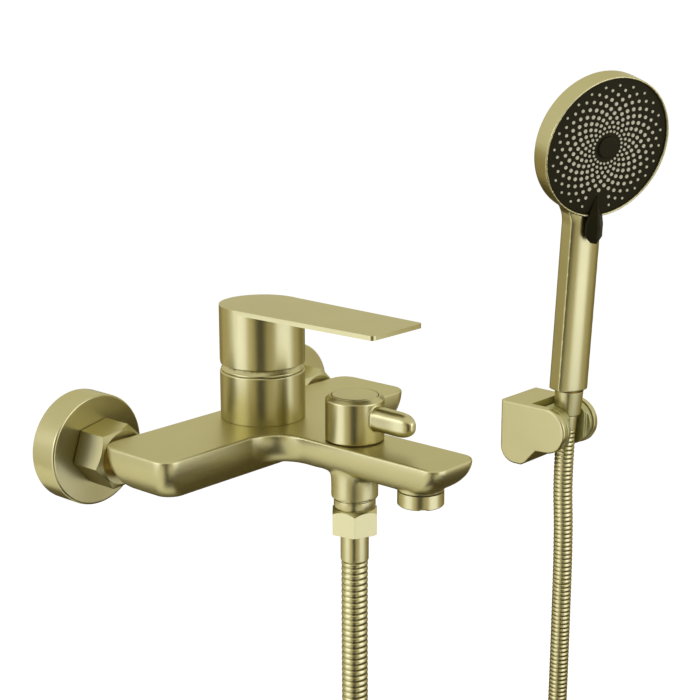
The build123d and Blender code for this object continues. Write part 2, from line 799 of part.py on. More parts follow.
with BuildPart() as diverter_nut:
    with BuildSketch(level(body_top, 0, diverter_y)):
        Circle(diverter_nut_radius)
        Circle(diverter_chamber_radius + running_gap, mode=Mode.SUBTRACT)
    extrude(amount=diverter_housing_top - body_top)
    with BuildSketch(level(diverter_housing_top, 0, diverter_y)):
        Circle(diverter_nut_radius)
        Circle(diverter_bore_radius + free_gap, mode=Mode.SUBTRACT)
    extrude(amount=diverter_nut_top - diverter_housing_top)
save(diverter_nut, "diverter_nut")

# Rotor: a plug with an elbow passage and a spindle for the knob
rotor_radius = diverter_bore_radius - running_gap
with BuildPart() as diverter_rotor:
    with BuildSketch(level(diverter_floor + 0.2, 0, diverter_y)):
        Circle(rotor_radius)
    extrude(amount=rotor_top - diverter_floor - 0.2)
    with BuildSketch(level(rotor_top, 0, diverter_y)):
        Circle(spindle_radius)
    extrude(amount=spindle_top - rotor_top)
    with BuildSketch(level(diverter_floor, 0, diverter_y)):
        Circle(outlet_passage_radius - 0.6)
    extrude(amount=mixed_waterway_rise - diverter_floor, mode=Mode.SUBTRACT)
    with BuildSketch(facing(0, axis_z + mixed_waterway_rise, -diverter_y - rotor_radius - 1)):
        Circle(outlet_passage_radius - 0.6)
    extrude(amount=rotor_radius + 1, mode=Mode.SUBTRACT)
    with BuildSketch(level(spindle_top, 0, diverter_y)):
        Circle(knob_screw_radius)
    extrude(amount=-knob_screw_length, mode=Mode.SUBTRACT)
save(diverter_rotor, "diverter_rotor")

knob_bottom = body_top + knob_lift
cap_floor = knob_top - knob_cap_thickness
with BuildPart() as diverter_knob:
    knob_outline = [
        (0, knob_bottom), (knob_radius, knob_bottom), (knob_radius, knob_top - knob_edge_drop),
        (knob_cap_radius + 0.6, knob_top - 0.2), (knob_cap_radius + seat_gap, knob_top - 0.2),
        (knob_cap_radius + seat_gap, cap_floor), (0, cap_floor),
    ]
    with BuildSketch(upright_section(0, diverter_y)):
        with BuildLine():
            Polyline(*knob_outline, close=True)
        make_face()
    revolve(axis=Axis((0, diverter_y, 0), (0, 0, 1)))
    # Finger arm: rounded sections that shrink and sink a little towards its end
    arm_sections = ((0.25, 1.0, 1.0), (0.42, 0.98, 1.0), (0.62, 0.98, 0.98), (0.80, 0.97, 0.94),
                    (0.90, 0.85, 0.80), (0.96, 0.64, 0.60), (1.0, 0.30, 0.28))
    for share, tall, wide in arm_sections:
        centre = axis_z + arm_rise - arm_droop * share
        with BuildSketch(facing(0, centre, -diverter_y + share * arm_reach)):
            RectangleRounded(
                arm_width * wide, arm_height * tall, 0.47 * min(arm_width * wide, arm_height * tall)
            )
    loft()
    with BuildSketch(level(knob_bottom, 0, diverter_y)):
        Circle(knob_radius - knob_wall)
    extrude(amount=knob_cavity_top - knob_bottom, mode=Mode.SUBTRACT)
    with BuildSketch(level(knob_cavity_top, 0, diverter_y)):
        Circle(spindle_radius)
    extrude(amount=spindle_top - knob_cavity_top, mode=Mode.SUBTRACT)
    with BuildSketch(level(knob_cavity_top, 0, diverter_y)):
        Circle(knob_screw_radius + seat_gap)
    extrude(amount=knob_top, mode=Mode.SUBTRACT)
    with BuildSketch(level(spindle_top + 1.5, 0, diverter_y)):
        Circle(knob_screw_head_radius + seat_gap)
    extrude(amount=knob_top, mode=Mode.SUBTRACT)
save(diverter_knob, "diverter_knob")

with BuildPart() as diverter_screw:
    with BuildSketch(level(spindle_top + 1.5, 0, diverter_y)):
        Circle(knob_screw_head_radius)
    extrude(amount=3.0)
    with BuildSketch(level(spindle_top + 1.5, 0, diverter_y)):
        Circle(knob_screw_radius - running_gap)
    extrude(amount=-knob_screw_length)
    with BuildSketch(level(spindle_top + 4.5, 0, diverter_y)):
        RegularPolygon(1.7, 6)
    extrude(amount=-1.6, mode=Mode.SUBTRACT)
save(diverter_screw, "diverter_screw")

diverter_cap = turned(upright_section(0, diverter_y), [
    (0, cap_floor), (knob_cap_radius, cap_floor), (knob_cap_radius, knob_top - 0.7),
    (knob_cap_radius - 0.7, knob_top), (0, knob_top),
])
save(diverter_cap, "diverter_cap")

# Aerator: threaded housing with a key notch, jet insert and washer
with BuildPart() as aerator_housing:
    housing_thread = aerator_pocket_radius - running_gap
    housing_bore = aerator_insert_radius + running_gap
    with BuildSketch(upright_section(0, aerator_y)):
        with BuildLine():
            Polyline(
                (aerator_insert_radius - 0.8, aerator_bottom), (aerator_radius - 0.5, aerator_bottom),
                (aerator_radius, aerator_bottom + 0.5),
                (aerator_radius, aerator_boss_bottom - seat_gap),
                (housing_thread, aerator_boss_bottom - seat_gap),
                (housing_thread, aerator_pocket_top - 1.6),
                (housing_bore, aerator_pocket_top - 1.6), (housing_bore, aerator_bottom + 1),
                (aerator_insert_radius - 0.8, aerator_bottom + 1),
                close=True,
            )
        make_face()
    revolve(axis=Axis((0, aerator_y, 0), (0, 0, 1)))
    with BuildSketch(level(aerator_bottom)):
        with Locations((-aerator_radius * sin(pi / 4), aerator_y - aerator_radius * cos(pi / 4))):
            Rectangle(3.4, 3.4, rotation=45)
    extrude(amount=1.2, mode=Mode.SUBTRACT)
save(aerator_housing, "aerator_housing")

with BuildPart() as aerator_insert:
    with BuildSketch(level(aerator_bottom + 1 + seat_gap, 0, aerator_y)):
        Circle(aerator_insert_radius)
        for ring, count in ((2.4, 6), (4.8, 12), (7.0, 18)):
            with PolarLocations(ring, count):
                Circle(aerator_jet_radius, mode=Mode.SUBTRACT)
    extrude(amount=aerator_pocket_top - 1.6 - aerator_bottom - 1 - seat_gap)
save(aerator_insert, "aerator_insert")

aerator_washer = turned(upright_section(0, aerator_y), tube_outline(
    aerator_pocket_radius - seat_gap, aerator_insert_radius - 2,
    aerator_pocket_top - 1.6, aerator_pocket_top,
))
save(aerator_washer, "aerator_washer")

# Nipple in the outlet boss, hose nut, washer and ferrule below it
nipple_seat = outlet_boss_bottom - seat_gap
nipple_flange_bottom = nipple_seat - nipple_flange_thickness
nipple_bottom = nipple_flange_bottom - nipple_thread_length
outlet_nipple = turned(upright_section(0, diverter_y), [
    (nipple_bore_radius, nipple_bottom), (half_inch_thread_radius - 0.5, nipple_bottom),
    (half_inch_thread_radius, nipple_bottom + 0.5),
    (half_inch_thread_radius, nipple_flange_bottom - 0.6),
    (nipple_flange_radius, nipple_flange_bottom + 0.6),
    (nipple_flange_radius, nipple_seat - nipple_neck_height),
    (half_inch_thread_radius, nipple_seat - nipple_neck_height),
    (half_inch_thread_radius, nipple_seat + outlet_thread_depth),
    (nipple_bore_radius, nipple_seat + outlet_thread_depth),
])
save(outlet_nipple, "outlet_nipple")

lower_washer_bottom = nipple_bottom - hose_washer_thickness
ferrule_flange_bottom = lower_washer_bottom - ferrule_flange_thickness
hose_nut_top = nipple_flange_bottom - hose_nut_overlap
hose_nut_bottom = hose_nut_top - hose_nut_length
ferrule_bottom = hose_nut_bottom - ferrule_length
hose_thread_bore = half_inch_thread_radius + running_gap

hose_washer_lower = turned(upright_section(0, diverter_y), tube_outline(
    half_inch_thread_radius - 0.3, nipple_bore_radius, lower_washer_bottom, nipple_bottom,
))
save(hose_washer_lower, "hose_washer_lower")

with BuildPart() as hose_nut:
    nut_corner = hose_nut_across_flats / sqrt(3)
    with BuildSketch(level(hose_nut_bottom, 0, diverter_y)):
        RegularPolygon(nut_corner, 6, rotation=hose_nut_turn)
    extrude(amount=hose_nut_length)
    with BuildSketch(upright_section(0, diverter_y)):
        with BuildLine():
            Polyline(
                (0, hose_nut_bottom), (nut_corner - 0.4, hose_nut_bottom),
                (nut_corner, hose_nut_bottom + 0.4), (nut_corner, hose_nut_top - 2.0),
                (nut_corner - 2.4, hose_nut_top), (0, hose_nut_top), close=True,
            )
        make_face()
    revolve(axis=Axis((0, diverter_y, 0), (0, 0, 1)), mode=Mode.INTERSECT)
    with BuildSketch(level(ferrule_flange_bottom - seat_gap, 0, diverter_y)):
        Circle(hose_thread_bore)
    extrude(amount=hose_nut_length, mode=Mode.SUBTRACT)
    with BuildSketch(level(hose_nut_bottom - 1, 0, diverter_y)):
        Circle(ferrule_radius + seat_gap)
    extrude(amount=hose_nut_length, mode=Mode.SUBTRACT)
save(hose_nut, "hose_nut")

ferrule_lower = turned(upright_section(0, diverter_y), [
    (ferrule_bore_radius, ferrule_bottom), (ferrule_radius - 0.5, ferrule_bottom),
    (ferrule_radius, ferrule_bottom + 0.8), (ferrule_radius, ferrule_flange_bottom),
    (half_inch_thread_radius - 0.3, ferrule_flange_bottom),
    (half_inch_thread_radius - 0.3, lower_washer_bottom),
    (ferrule_bore_radius, lower_washer_bottom),
])
save(ferrule_lower, "ferrule_lower")

# Bracket frame: the pivot line, and the leaning axis of the cone
pivot_z = axis_z - bracket_drop
pivot_y = -bracket_pivot_reach
lean = radians(cone_lean)
up_axis = Vector(0, -sin(lean), cos(lean))
forward_axis = Vector(0, -cos(lean), -sin(lean))
cone_origin = Vector(bracket_x, pivot_y - cone_axis_forward, pivot_z)
cone_plane = Plane(origin=cone_origin, x_dir=(1, 0, 0), z_dir=up_axis)


def cone_section():
    """Plane for turning about the cone's axis, with heights above the pivot."""
    return Plane(origin=cone_origin, x_dir=(1, 0, 0), z_dir=forward_axis)


# Bracket: side outline extruded across, then the space between the cheeks cut away
left_face = bracket_x - bracket_width / 2
inner_width = bracket_width - 2 * cheek_thickness
side_plane = Plane(origin=(left_face, 0, pivot_z), x_dir=(0, 1, 0), z_dir=(1, 0, 0))
heel_y = -bracket_heel_radius
with BuildPart() as bracket_body:
    with BuildSketch(side_plane):
        with BuildLine():
            heel_low = -bracket_block_drop
            Line((0, cheek_radius), (pivot_y, cheek_radius))
            ThreePointArc(
                (pivot_y, cheek_radius), (pivot_y - cheek_radius, 0), (pivot_y, -cheek_radius)
            )
            Line((pivot_y, -cheek_radius), (-heel_front, -heel_step))
            Line((-heel_front, -heel_step), (-heel_low_front, heel_low + 2.5))
            Line((-heel_low_front, heel_low + 2.5), (4 - heel_low_front, heel_low))
            Line((4 - heel_low_front, heel_low), (heel_y, heel_low))
            bulge = bracket_heel_radius * (1 - cos(pi / 4))
            ThreePointArc(
                (heel_y, heel_low), (-bulge, heel_low + bulge), (0, heel_low + bracket_heel_radius)
            )
            Line((0, heel_low + bracket_heel_radius), (0, cheek_radius))
        make_face()
    extrude(amount=bracket_width)
    outer_faces = bracket_body.faces().filter_by(Axis.X).sort_by(Axis.X)
    rim = [e for f in (outer_faces[0], outer_faces[-1]) for e in f.edges()]
    chamfer([e for e in rim if e.center().Y < -1], bracket_edge)
    # Gap between the cheeks
    with BuildSketch(Plane(origin=(bracket_x - inner_width / 2, 0, pivot_z), x_dir=(0, 1, 0),
                           z_dir=(1, 0, 0))):
        reach = 2 * cheek_radius
        drum_clear = cradle_radius + cradle_clearance
        opening_low = -sqrt(drum_clear ** 2 - (bracket_pivot_reach - bracket_block_depth) ** 2)
        # Below the drum the gap reaches back past the hose
        gap_back = pivot_y + hose_radius
        with BuildLine():
            Polyline(
                (-bracket_block_depth, opening_low), (-bracket_block_depth, reach),
                (pivot_y - reach, reach), (pivot_y - reach, -reach), (gap_back, -reach),
                (gap_back, opening_low), close=True,
            )
        make_face()
        with Locations((pivot_y, 0)):
            Circle(drum_clear)
    extrude(amount=inner_width, mode=Mode.SUBTRACT)
    # Pocket for the wall plate, and the hole for the clamping screw below
    with BuildSketch(facing(bracket_x, pivot_z, 0)):
        Rectangle(pocket_width, pocket_height)
    extrude(amount=pocket_depth, mode=Mode.SUBTRACT)
    with BuildSketch(Plane(origin=(bracket_x, -pocket_depth / 2, pivot_z - bracket_block_drop))):
        Circle(clamp_screw_radius + running_gap)
    extrude(amount=bracket_block_drop, mode=Mode.SUBTRACT)
    # Blind holes for the pivot stubs
    for side in (-1, 1):
        with BuildSketch(Plane(origin=(bracket_x + side * inner_width / 2, pivot_y, pivot_z),
                               x_dir=(0, 1, 0), z_dir=(side, 0, 0))):
            Circle(pivot_stub_radius)
        extrude(amount=cheek_thickness - 1.2, mode=Mode.SUBTRACT)
save(bracket_body, "bracket_body")

with BuildPart() as wall_plate:
    with BuildSketch(facing(bracket_x, pivot_z, 0)):
        Rectangle(pocket_width - 2 * seat_gap, pocket_height - 2 * seat_gap)
        with GridLocations(screw_spacing, 0, 2, 1):
            Circle(screw_hole_radius, mode=Mode.SUBTRACT)
    extrude(amount=wall_plate_thickness)
    with BuildSketch(facing(bracket_x, pivot_z, wall_plate_thickness)):
        with Locations((0, -pocket_height / 2 + 2)):
            Rectangle(8, 4 - 2 * seat_gap)
    extrude(amount=pocket_depth - wall_plate_thickness - free_gap)
save(wall_plate, "wall_plate")

with BuildPart() as bracket_clamp_screw:
    clamp_top = pivot_z - pocket_height / 2
    with BuildSketch(Plane(origin=(bracket_x, -pocket_depth / 2, clamp_top - clamp_screw_length))):
        Circle(clamp_screw_radius)
        RegularPolygon(1.1, 6, mode=Mode.SUBTRACT)
    extrude(amount=clamp_screw_length / 2)
    with BuildSketch(Plane(origin=(bracket_x, -pocket_depth / 2, clamp_top))):
        Circle(clamp_screw_radius)
    extrude(amount=-clamp_screw_length / 2)
save(bracket_clamp_screw, "bracket_clamp_screw")

# Pivot stubs pressed into the cheeks, and friction washers beside the cradle
cradle_gap = friction_washer_thickness + 2 * running_gap
cradle_half_width = inner_width / 2 - cradle_gap
with BuildPart() as pivot_stubs:
    for side in (-1, 1):
        start = bracket_x + side * (inner_width / 2 + cheek_thickness - 1.2)
        with BuildSketch(Plane(origin=(start, pivot_y, pivot_z), x_dir=(0, 1, 0),
                               z_dir=(-side, 0, 0))):
            Circle(pivot_stub_radius)
        extrude(amount=cheek_thickness - 1.2 + cradle_gap + pivot_stub_depth)
save(pivot_stubs, "pivot_stubs")

with BuildPart() as friction_washers:
    for side in (-1, 1):
        with BuildSketch(Plane(origin=(bracket_x + side * inner_width / 2, pivot_y, pivot_z),
                               x_dir=(0, 1, 0), z_dir=(-side, 0, 0))):
            Circle(friction_washer_radius)
            Circle(pivot_stub_radius, mode=Mode.SUBTRACT)
        extrude(amount=friction_washer_thickness)
save(friction_washers, "friction_washers")


def cone_radius(height):
    """Radius of the conical nut at a height along the cone's axis."""
    share = (height - nut_bottom) / (handle_bottom - nut_bottom)
    return nut_bottom_radius + share * (nut_top_radius - nut_bottom_radius)


# Cradle: a drum across the bracket with a conical seat and a slot at the front for the hose
with BuildPart() as cradle:
    with BuildSketch(Plane(origin=(bracket_x - cradle_half_width, pivot_y, pivot_z),
                           x_dir=(0, 1, 0), z_dir=(1, 0, 0))):
        Circle(cradle_radius)
    extrude(amount=2 * cradle_half_width)
    ends = cradle.faces().filter_by(Axis.X)
    chamfer(ends.edges(), 0.6)
    with BuildSketch(cone_section()):
        with BuildLine():
            top = cradle_radius + 4
            Polyline(
                (0, -top - 6), (cradle_bore_radius, -top - 6),
                (cradle_bore_radius, cone_seat_bottom - 2),
                (cone_radius(cone_seat_bottom) + free_gap, cone_seat_bottom),
                (cone_radius(top) + free_gap, top), (0, top), close=True,
            )
        make_face()
    revolve(axis=Axis(cone_origin, up_axis), mode=Mode.SUBTRACT)
    with BuildSketch(cone_plane.offset(-2 * cradle_radius)):
        with Locations((0, -cradle_radius)):
            Rectangle(cradle_slot_width, 2 * cradle_radius)
    extrude(amount=4 * cradle_radius, mode=Mode.SUBTRACT)
    # The front is cut back flat between the two end discs, so the jaws are short
    with BuildSketch(Plane(
        origin=(bracket_x - cradle_half_width + cradle_disc_thickness, pivot_y, pivot_z),
        x_dir=(0, 1, 0), z_dir=(1, 0, 0),
    )):
        with Locations((-cradle_front_reach - cradle_radius / 2, 0)):
            Rectangle(cradle_radius, 3 * cradle_radius)
    extrude(amount=2 * (cradle_half_width - cradle_disc_thickness), mode=Mode.SUBTRACT)
    for side in (-1, 1):
        with BuildSketch(Plane(origin=(bracket_x + side * (cradle_half_width + 1), pivot_y, pivot_z),
                               x_dir=(0, 1, 0), z_dir=(-side, 0, 0))):
            Circle(pivot_stub_radius + running_gap)
        extrude(amount=pivot_stub_depth + 1 + free_gap, mode=Mode.SUBTRACT)
save(cradle, "cradle")

# Conical nut, washer and the hose's upper ferrule
nut_top = handle_bottom - free_gap
flange_bottom = nut_bottom + nut_web + seat_gap
upper_flange_top = flange_bottom + ferrule_flange_thickness
upper_washer_top = upper_flange_top + free_gap + hose_washer_thickness
nut_bore = handset_thread_radius + running_gap
web_hole = upper_ferrule_top_radius + seat_gap
conical_nut = turned(cone_section(), [
    (web_hole, nut_bottom), (cone_radius(nut_bottom) - 0.5, nut_bottom),
    (cone_radius(nut_bottom), nut_bottom + 0.6), (cone_radius(nut_top), nut_top),
    (nut_bore, nut_top), (nut_bore, nut_bottom + nut_web), (web_hole, nut_bottom + nut_web),
])
save(conical_nut, "conical_nut")

hose_washer_upper = turned(cone_section(), tube_outline(
    handset_thread_radius - seat_gap, ferrule_bore_radius,
    upper_flange_top + free_gap, upper_washer_top,
))
save(hose_washer_upper, "hose_washer_upper")

ferrule_upper = turned(cone_section(), [
    (ferrule_bore_radius, upper_ferrule_bottom),
    (upper_ferrule_bottom_radius, upper_ferrule_bottom),
    (upper_ferrule_top_radius, nut_bottom - 1.0), (upper_ferrule_top_radius, flange_bottom),
    (upper_ferrule_flange_radius, flange_bottom), (upper_ferrule_flange_radius, upper_flange_top),
    (ferrule_bore_radius, upper_flange_top),
])
save(ferrule_upper, "ferrule_upper")

# Hand shower frame: the handle turns about the cone's axis and faces partly to the left
swivel = radians(handset_swivel)
handset_forward = forward_axis * cos(swivel) + Vector(-1, 0, 0) * sin(swivel)
handset_right = up_axis.cross(handset_forward)
handset_plane = Plane(origin=cone_origin, x_dir=handset_right, z_dir=up_axis)
tilt = radians(head_tilt)
head_normal = handset_forward * cos(tilt) - up_axis * sin(tilt)
head_origin = cone_origin + up_axis * head_height + handset_forward * head_forward
head_plane = Plane(origin=head_origin, x_dir=handset_right, z_dir=head_normal)
head_section = Plane(
    origin=head_origin, x_dir=handset_right, z_dir=handset_right.cross(head_normal)
)


def handle_outline(half_width, front, side_front, back, corner):
    """Section of the handle: flat back and sides, bowed front."""
    bulge = corner * (1 - cos(pi / 4))
    with BuildLine() as outline:
        ThreePointArc((-half_width, -side_front), (0, -front), (half_width, -side_front))
        Line((half_width, -side_front), (half_width, back - corner))
        ThreePointArc(
            (half_width, back - corner), (half_width - bulge, back - bulge),
            (half_width - corner, back),
        )
        Line((half_width - corner, back), (corner - half_width, back))
        ThreePointArc(
            (corner - half_width, back), (bulge - half_width, back - bulge),
            (-half_width, back - corner),
        )
        Line((-half_width, back - corner), (-half_width, -side_front))
    make_face(outline.edges())


cavity_radius = head_radius - head_wall
# Heights that follow the head: its lowest edge, the neck, the pipe's end and the spine
head_low = head_height - head_radius * cos(tilt)
neck_top = head_low + neck_overlap
handle_straight_top = neck_top - neck_length
shoulder_top = head_low + shoulder_overlap
pipe_top = head_low - pipe_head_gap
spine_top = head_height - spine_drop
with BuildPart() as handset_shell:
    # Handle
    with BuildSketch(handset_plane.offset(handle_bottom)):
        handle_outline(
            handle_half_width, handle_front, handle_side_front, handle_back, handle_back_corner
        )
    extrude(amount=handle_straight_top - handle_bottom)
    # Neck that widens a little under the head
    neck_middle = (handle_straight_top + neck_top) / 2
    with BuildSketch(handset_plane.offset(handle_straight_top)):
        handle_outline(
            handle_half_width, handle_front, handle_side_front, handle_back, handle_back_corner
        )
    with BuildSketch(handset_plane.offset(neck_middle)):
        handle_outline(
            handle_half_width + 0.9, handle_front, handle_side_front, handle_back - 0.4,
            handle_back_corner,
        )
    with BuildSketch(handset_plane.offset(neck_top)):
        handle_outline(
            neck_half_width, handle_front - 0.5, handle_side_front, handle_back - 1.4,
            handle_back_corner,
        )
    loft()
    # Shoulders that sweep out from the sides of the neck into the head's rim
    for share, spread in ((0.0, 0.0), (0.3, 0.05), (0.55, 0.22), (0.8, 0.58), (1.0, 1.0)):
        height = handle_straight_top + 1 + share * (shoulder_top - handle_straight_top - 1)
        half_width = handle_half_width - 0.3
        half_width += spread * (shoulder_half_width - half_width)
        with BuildSketch(handset_plane.offset(height)):
            handle_outline(half_width, handle_front - 0.4, handle_side_front, 3.0, 1.5)
    loft()
    # Spine that runs out on the back of the head
    with BuildSketch(handset_plane.offset(neck_top)):
        handle_outline(
            neck_half_width, handle_front - 0.5, handle_side_front, handle_back - 1.4,
            handle_back_corner,
        )
    with BuildSketch(handset_plane.offset((neck_top + spine_top) / 2)):
        handle_outline(
            (neck_half_width + spine_half_width) / 2, handle_front - 0.5, handle_side_front,
            handle_back - 5.0, handle_back_corner,
        )
    with BuildSketch(handset_plane.offset(spine_top)):
        handle_outline(
            spine_half_width, handle_front - 0.5, handle_side_front, -1.4, handle_back_corner - 1,
        )
    loft()
    # Head: shallow dome at the back and a plain cylindrical rim
    with BuildSketch(head_section):
        with BuildLine():
            shoulder = head_radius - head_back_corner
            sag = head_back_corner * (1 - cos(pi / 4))
            Line((0, head_thickness), (head_radius, head_thickness))
            Line((head_radius, head_thickness), (head_radius, head_back_corner))
            ThreePointArc(
                (head_radius, head_back_corner), (head_radius - sag, sag), (shoulder, 0)
            )
            ThreePointArc((shoulder, 0), (shoulder / 2, -0.78 * head_dome), (0, -head_dome))
            Line((0, -head_dome), (0, head_thickness))
        make_face()
    revolve(axis=Axis(head_origin, head_normal))
    # Cavity of the head, cut last so that neck and spine stay outside it
    with BuildSketch(head_plane.offset(head_back_wall)):
        Circle(cavity_radius)
    extrude(amount=head_thickness, mode=Mode.SUBTRACT)
    # Bore for the water pipe, and the passage from it into the back of the head
    with BuildSketch(handset_plane.offset(handle_bottom - 1)):
        Circle(handle_bore_radius)
    extrude(amount=pipe_top - handle_bottom + 1, mode=Mode.SUBTRACT)
    with BuildSketch(handset_plane.offset(pipe_top - 1)):
        with Locations((0, -passage_forward)):
            Circle(passage_radius)
    extrude(amount=passage_length, mode=Mode.SUBTRACT)
save(handset_shell, "handset_shell")

# Inlet insert: threaded stub below the handle, pressed into its bore
handset_inlet = turned(cone_section(), [
    (inlet_bore_radius, handle_bottom - handset_thread_length),
    (handset_thread_radius, handle_bottom - handset_thread_length),
    (handset_thread_radius, handle_bottom - running_gap),
    (handle_bore_radius - running_gap, handle_bottom - running_gap),
    (handle_bore_radius - running_gap, handle_bottom + inlet_insert_depth),
    (inlet_bore_radius - 1.2, handle_bottom + inlet_insert_depth),
    (inlet_bore_radius - 1.2, handle_bottom),
    (inlet_bore_radius, handle_bottom),
])
save(handset_inlet, "handset_inlet")

# Water pipe from the insert up into the head
water_pipe = turned(cone_section(), [
    (pipe_bore_radius, handle_bottom + inlet_insert_depth),
    (handle_bore_radius - running_gap, handle_bottom + inlet_insert_depth),
    (handle_bore_radius - running_gap, handle_bottom + inlet_insert_depth + 4),
    (pipe_radius, handle_bottom + inlet_insert_depth + 5),
    (pipe_radius, pipe_top - 5), (handle_bore_radius - running_gap, pipe_top - 4),
    (handle_bore_radius - running_gap, pipe_top - running_gap),
    (pipe_bore_radius, pipe_top - running_gap),
])
save(water_pipe, "water_pipe")

# Inside the head, from the back: fixed chamber plate, selector disc, nozzle mat and faceplate
chamber_bottom = head_back_wall
chamber_top = chamber_bottom + chamber_thickness
selector_bottom = chamber_top + face_running_gap
selector_top = selector_bottom + selector_disc_thickness
faceplate_top = head_thickness - faceplate_inset
faceplate_bottom = faceplate_top - faceplate_thickness
mat_top = faceplate_bottom
mat_bottom = mat_top - nozzle_mat_thickness
faceplate_radius = cavity_radius - face_running_gap
skirt_inner_radius = faceplate_radius - faceplate_skirt_wall
selector_disc_radius = skirt_inner_radius - selector_disc_gap
nozzle_mat_radius = skirt_inner_radius - nozzle_mat_gap
nozzle_last_ring = nozzle_mat_radius - nozzle_rim_margin
nozzle_ring_step = (nozzle_last_ring - nozzle_first_ring) / (nozzle_rings - 1)
selector_inner = head_radius - selector_inset
selector_outer = head_radius + selector_overhang

with BuildPart() as chamber_plate:
    with BuildSketch(head_plane.offset(chamber_bottom)):
        Circle(cavity_radius - seat_gap)
        with PolarLocations(head_radius / 2, 3, start_angle=90):
            Circle(chamber_inlet_radius, mode=Mode.SUBTRACT)
    extrude(amount=chamber_thickness)
    with BuildSketch(head_plane.offset(chamber_bottom)):
        Circle(2 * face_screw_radius)
    extrude(amount=mat_bottom - chamber_bottom - 1)
    with BuildSketch(head_plane.offset(chamber_bottom + 1)):
        Circle(face_screw_radius)
    extrude(amount=head_thickness, mode=Mode.SUBTRACT)
    # Water space at the back, reached by the passage from the pipe
    with BuildSketch(head_plane.offset(chamber_bottom)):
        Circle(cavity_radius - 6)
        Circle(2 * face_screw_radius, mode=Mode.SUBTRACT)
    extrude(amount=chamber_thickness / 2, mode=Mode.SUBTRACT)
    with BuildSketch(handset_plane.offset(pipe_top)):
        with Locations((0, -passage_forward)):
            Circle(passage_radius)
    extrude(amount=3 * passage_length, mode=Mode.SUBTRACT)
save(chamber_plate, "chamber_plate")

with BuildPart() as selector_disc:
    with BuildSketch(head_plane.offset(selector_bottom)):
        Circle(selector_disc_radius)
        Circle(2 * face_screw_radius + face_running_gap, mode=Mode.SUBTRACT)
        with PolarLocations(head_radius / 2, 3, start_angle=90):
            Circle(chamber_inlet_radius, mode=Mode.SUBTRACT)
    extrude(amount=selector_disc_thickness)
    with BuildSketch(head_plane.offset(selector_top)):
        Circle(selector_disc_radius)
        Circle(selector_disc_radius - selector_disc_rim, mode=Mode.SUBTRACT)
    extrude(amount=mat_bottom - selector_top)
save(selector_disc, "selector_disc")


def nozzle_places(ring):
    """Places of one ring of nozzles, each ring turned half a step from the last."""
    radius = nozzle_first_ring + ring * nozzle_ring_step
    step = 2 * pi / nozzles_per_ring
    return [
        (radius * cos((n + ring / 2) * step), radius * sin((n + ring / 2) * step))
        for n in range(nozzles_per_ring)
    ]


def nozzle_radius(ring):
    """Nozzles are largest halfway out and smaller towards the middle and the rim."""
    share = ring / (nozzle_rings - 1)
    return nozzle_small_radius + (nozzle_large_radius - nozzle_small_radius) * sin(pi * share)


def clear_of_selector(place, radius):
    """True where a nozzle isn't under the selector lever."""
    return not (place[1] < -selector_inner + 2 * radius and abs(place[0]) < selector_half_width)


with BuildPart() as nozzle_mat:
    with BuildSketch(head_plane.offset(mat_bottom)):
        Circle(nozzle_mat_radius)
        Circle(2 * face_screw_radius, mode=Mode.SUBTRACT)
    extrude(amount=nozzle_mat_thickness)
    with BuildSketch(head_plane.offset(mat_top)):
        for ring in range(nozzle_rings):
            r = nozzle_radius(ring)
            with Locations(*[p for p in nozzle_places(ring) if clear_of_selector(p, r)]):
                Circle(r)
    extrude(amount=faceplate_thickness + nozzle_proud)
save(nozzle_mat, "nozzle_mat")

with BuildPart() as spray_faceplate:
    with BuildSketch(head_plane.offset(faceplate_bottom)):
        Circle(faceplate_radius)
        Circle(face_screw_radius + running_gap, mode=Mode.SUBTRACT)
        for ring in range(nozzle_rings):
            r = nozzle_radius(ring)
            with Locations(*[p for p in nozzle_places(ring) if clear_of_selector(p, r)]):
                Circle(r + nozzle_hole_gap, mode=Mode.SUBTRACT)
    extrude(amount=faceplate_thickness)
    with BuildSketch(head_plane.offset(selector_bottom)):
        Circle(faceplate_radius)
        Circle(skirt_inner_radius, mode=Mode.SUBTRACT)
    extrude(amount=faceplate_bottom - selector_bottom)
save(spray_faceplate, "spray_faceplate")

# Screw that holds the face on the chamber plate, and the cap that hides it
with BuildPart() as face_screw:
    with BuildSketch(head_plane.offset(chamber_bottom + 2)):
        Circle(face_screw_radius - running_gap)
    extrude(amount=faceplate_top - chamber_bottom - 2)
save(face_screw, "face_screw")

face_cap = turned(head_section, [
    (0, faceplate_top + seat_gap), (face_cap_radius, faceplate_top + seat_gap),
    (face_cap_radius, faceplate_top + seat_gap + face_cap_thickness - 0.5),
    (face_cap_radius - 0.8, faceplate_top + seat_gap + face_cap_thickness),
    (0, faceplate_top + seat_gap + face_cap_thickness),
])
save(face_cap, "face_cap")

# Selector lever: a keel on the faceplate that reaches over the rim in front of the handle
with BuildPart() as selector_lever:
    lever_base = faceplate_top
    rim_clear = head_thickness + free_gap
    crest = lever_base + selector_height
    before_rim = cavity_radius - 2
    lever_sections = (
        (selector_inner, 0.8, lever_base, lever_base + 1.2),
        (selector_inner + selector_foot, 3.8, lever_base, lever_base + 4.6),
        (before_rim, 4.6, lever_base, lever_base + 5.4),
        (before_rim + 1.2, 5.2, rim_clear, lever_base + 6.0),
        (head_radius + 4, selector_half_width, rim_clear, crest - 1.4),
        (selector_outer - 4, selector_half_width, rim_clear + 2, crest),
        (selector_outer, 3.0, rim_clear + 4, crest - 0.6),
    )
    for distance, half, low, top in lever_sections:
        section = Plane(
            origin=head_origin - head_plane.y_dir * distance, x_dir=handset_right,
            z_dir=-head_plane.y_dir,
        )
        with BuildSketch(section):
            with BuildLine():
                Polyline(
                    (-half, low), (half, low), (half, low + 0.3 * (top - low)),
                    (0.14 * half, top), (-0.14 * half, top), (-half, low + 0.3 * (top - low)),
                    close=True,
                )
            make_face()
    loft(ruled=True)
save(selector_lever, "selector_lever")


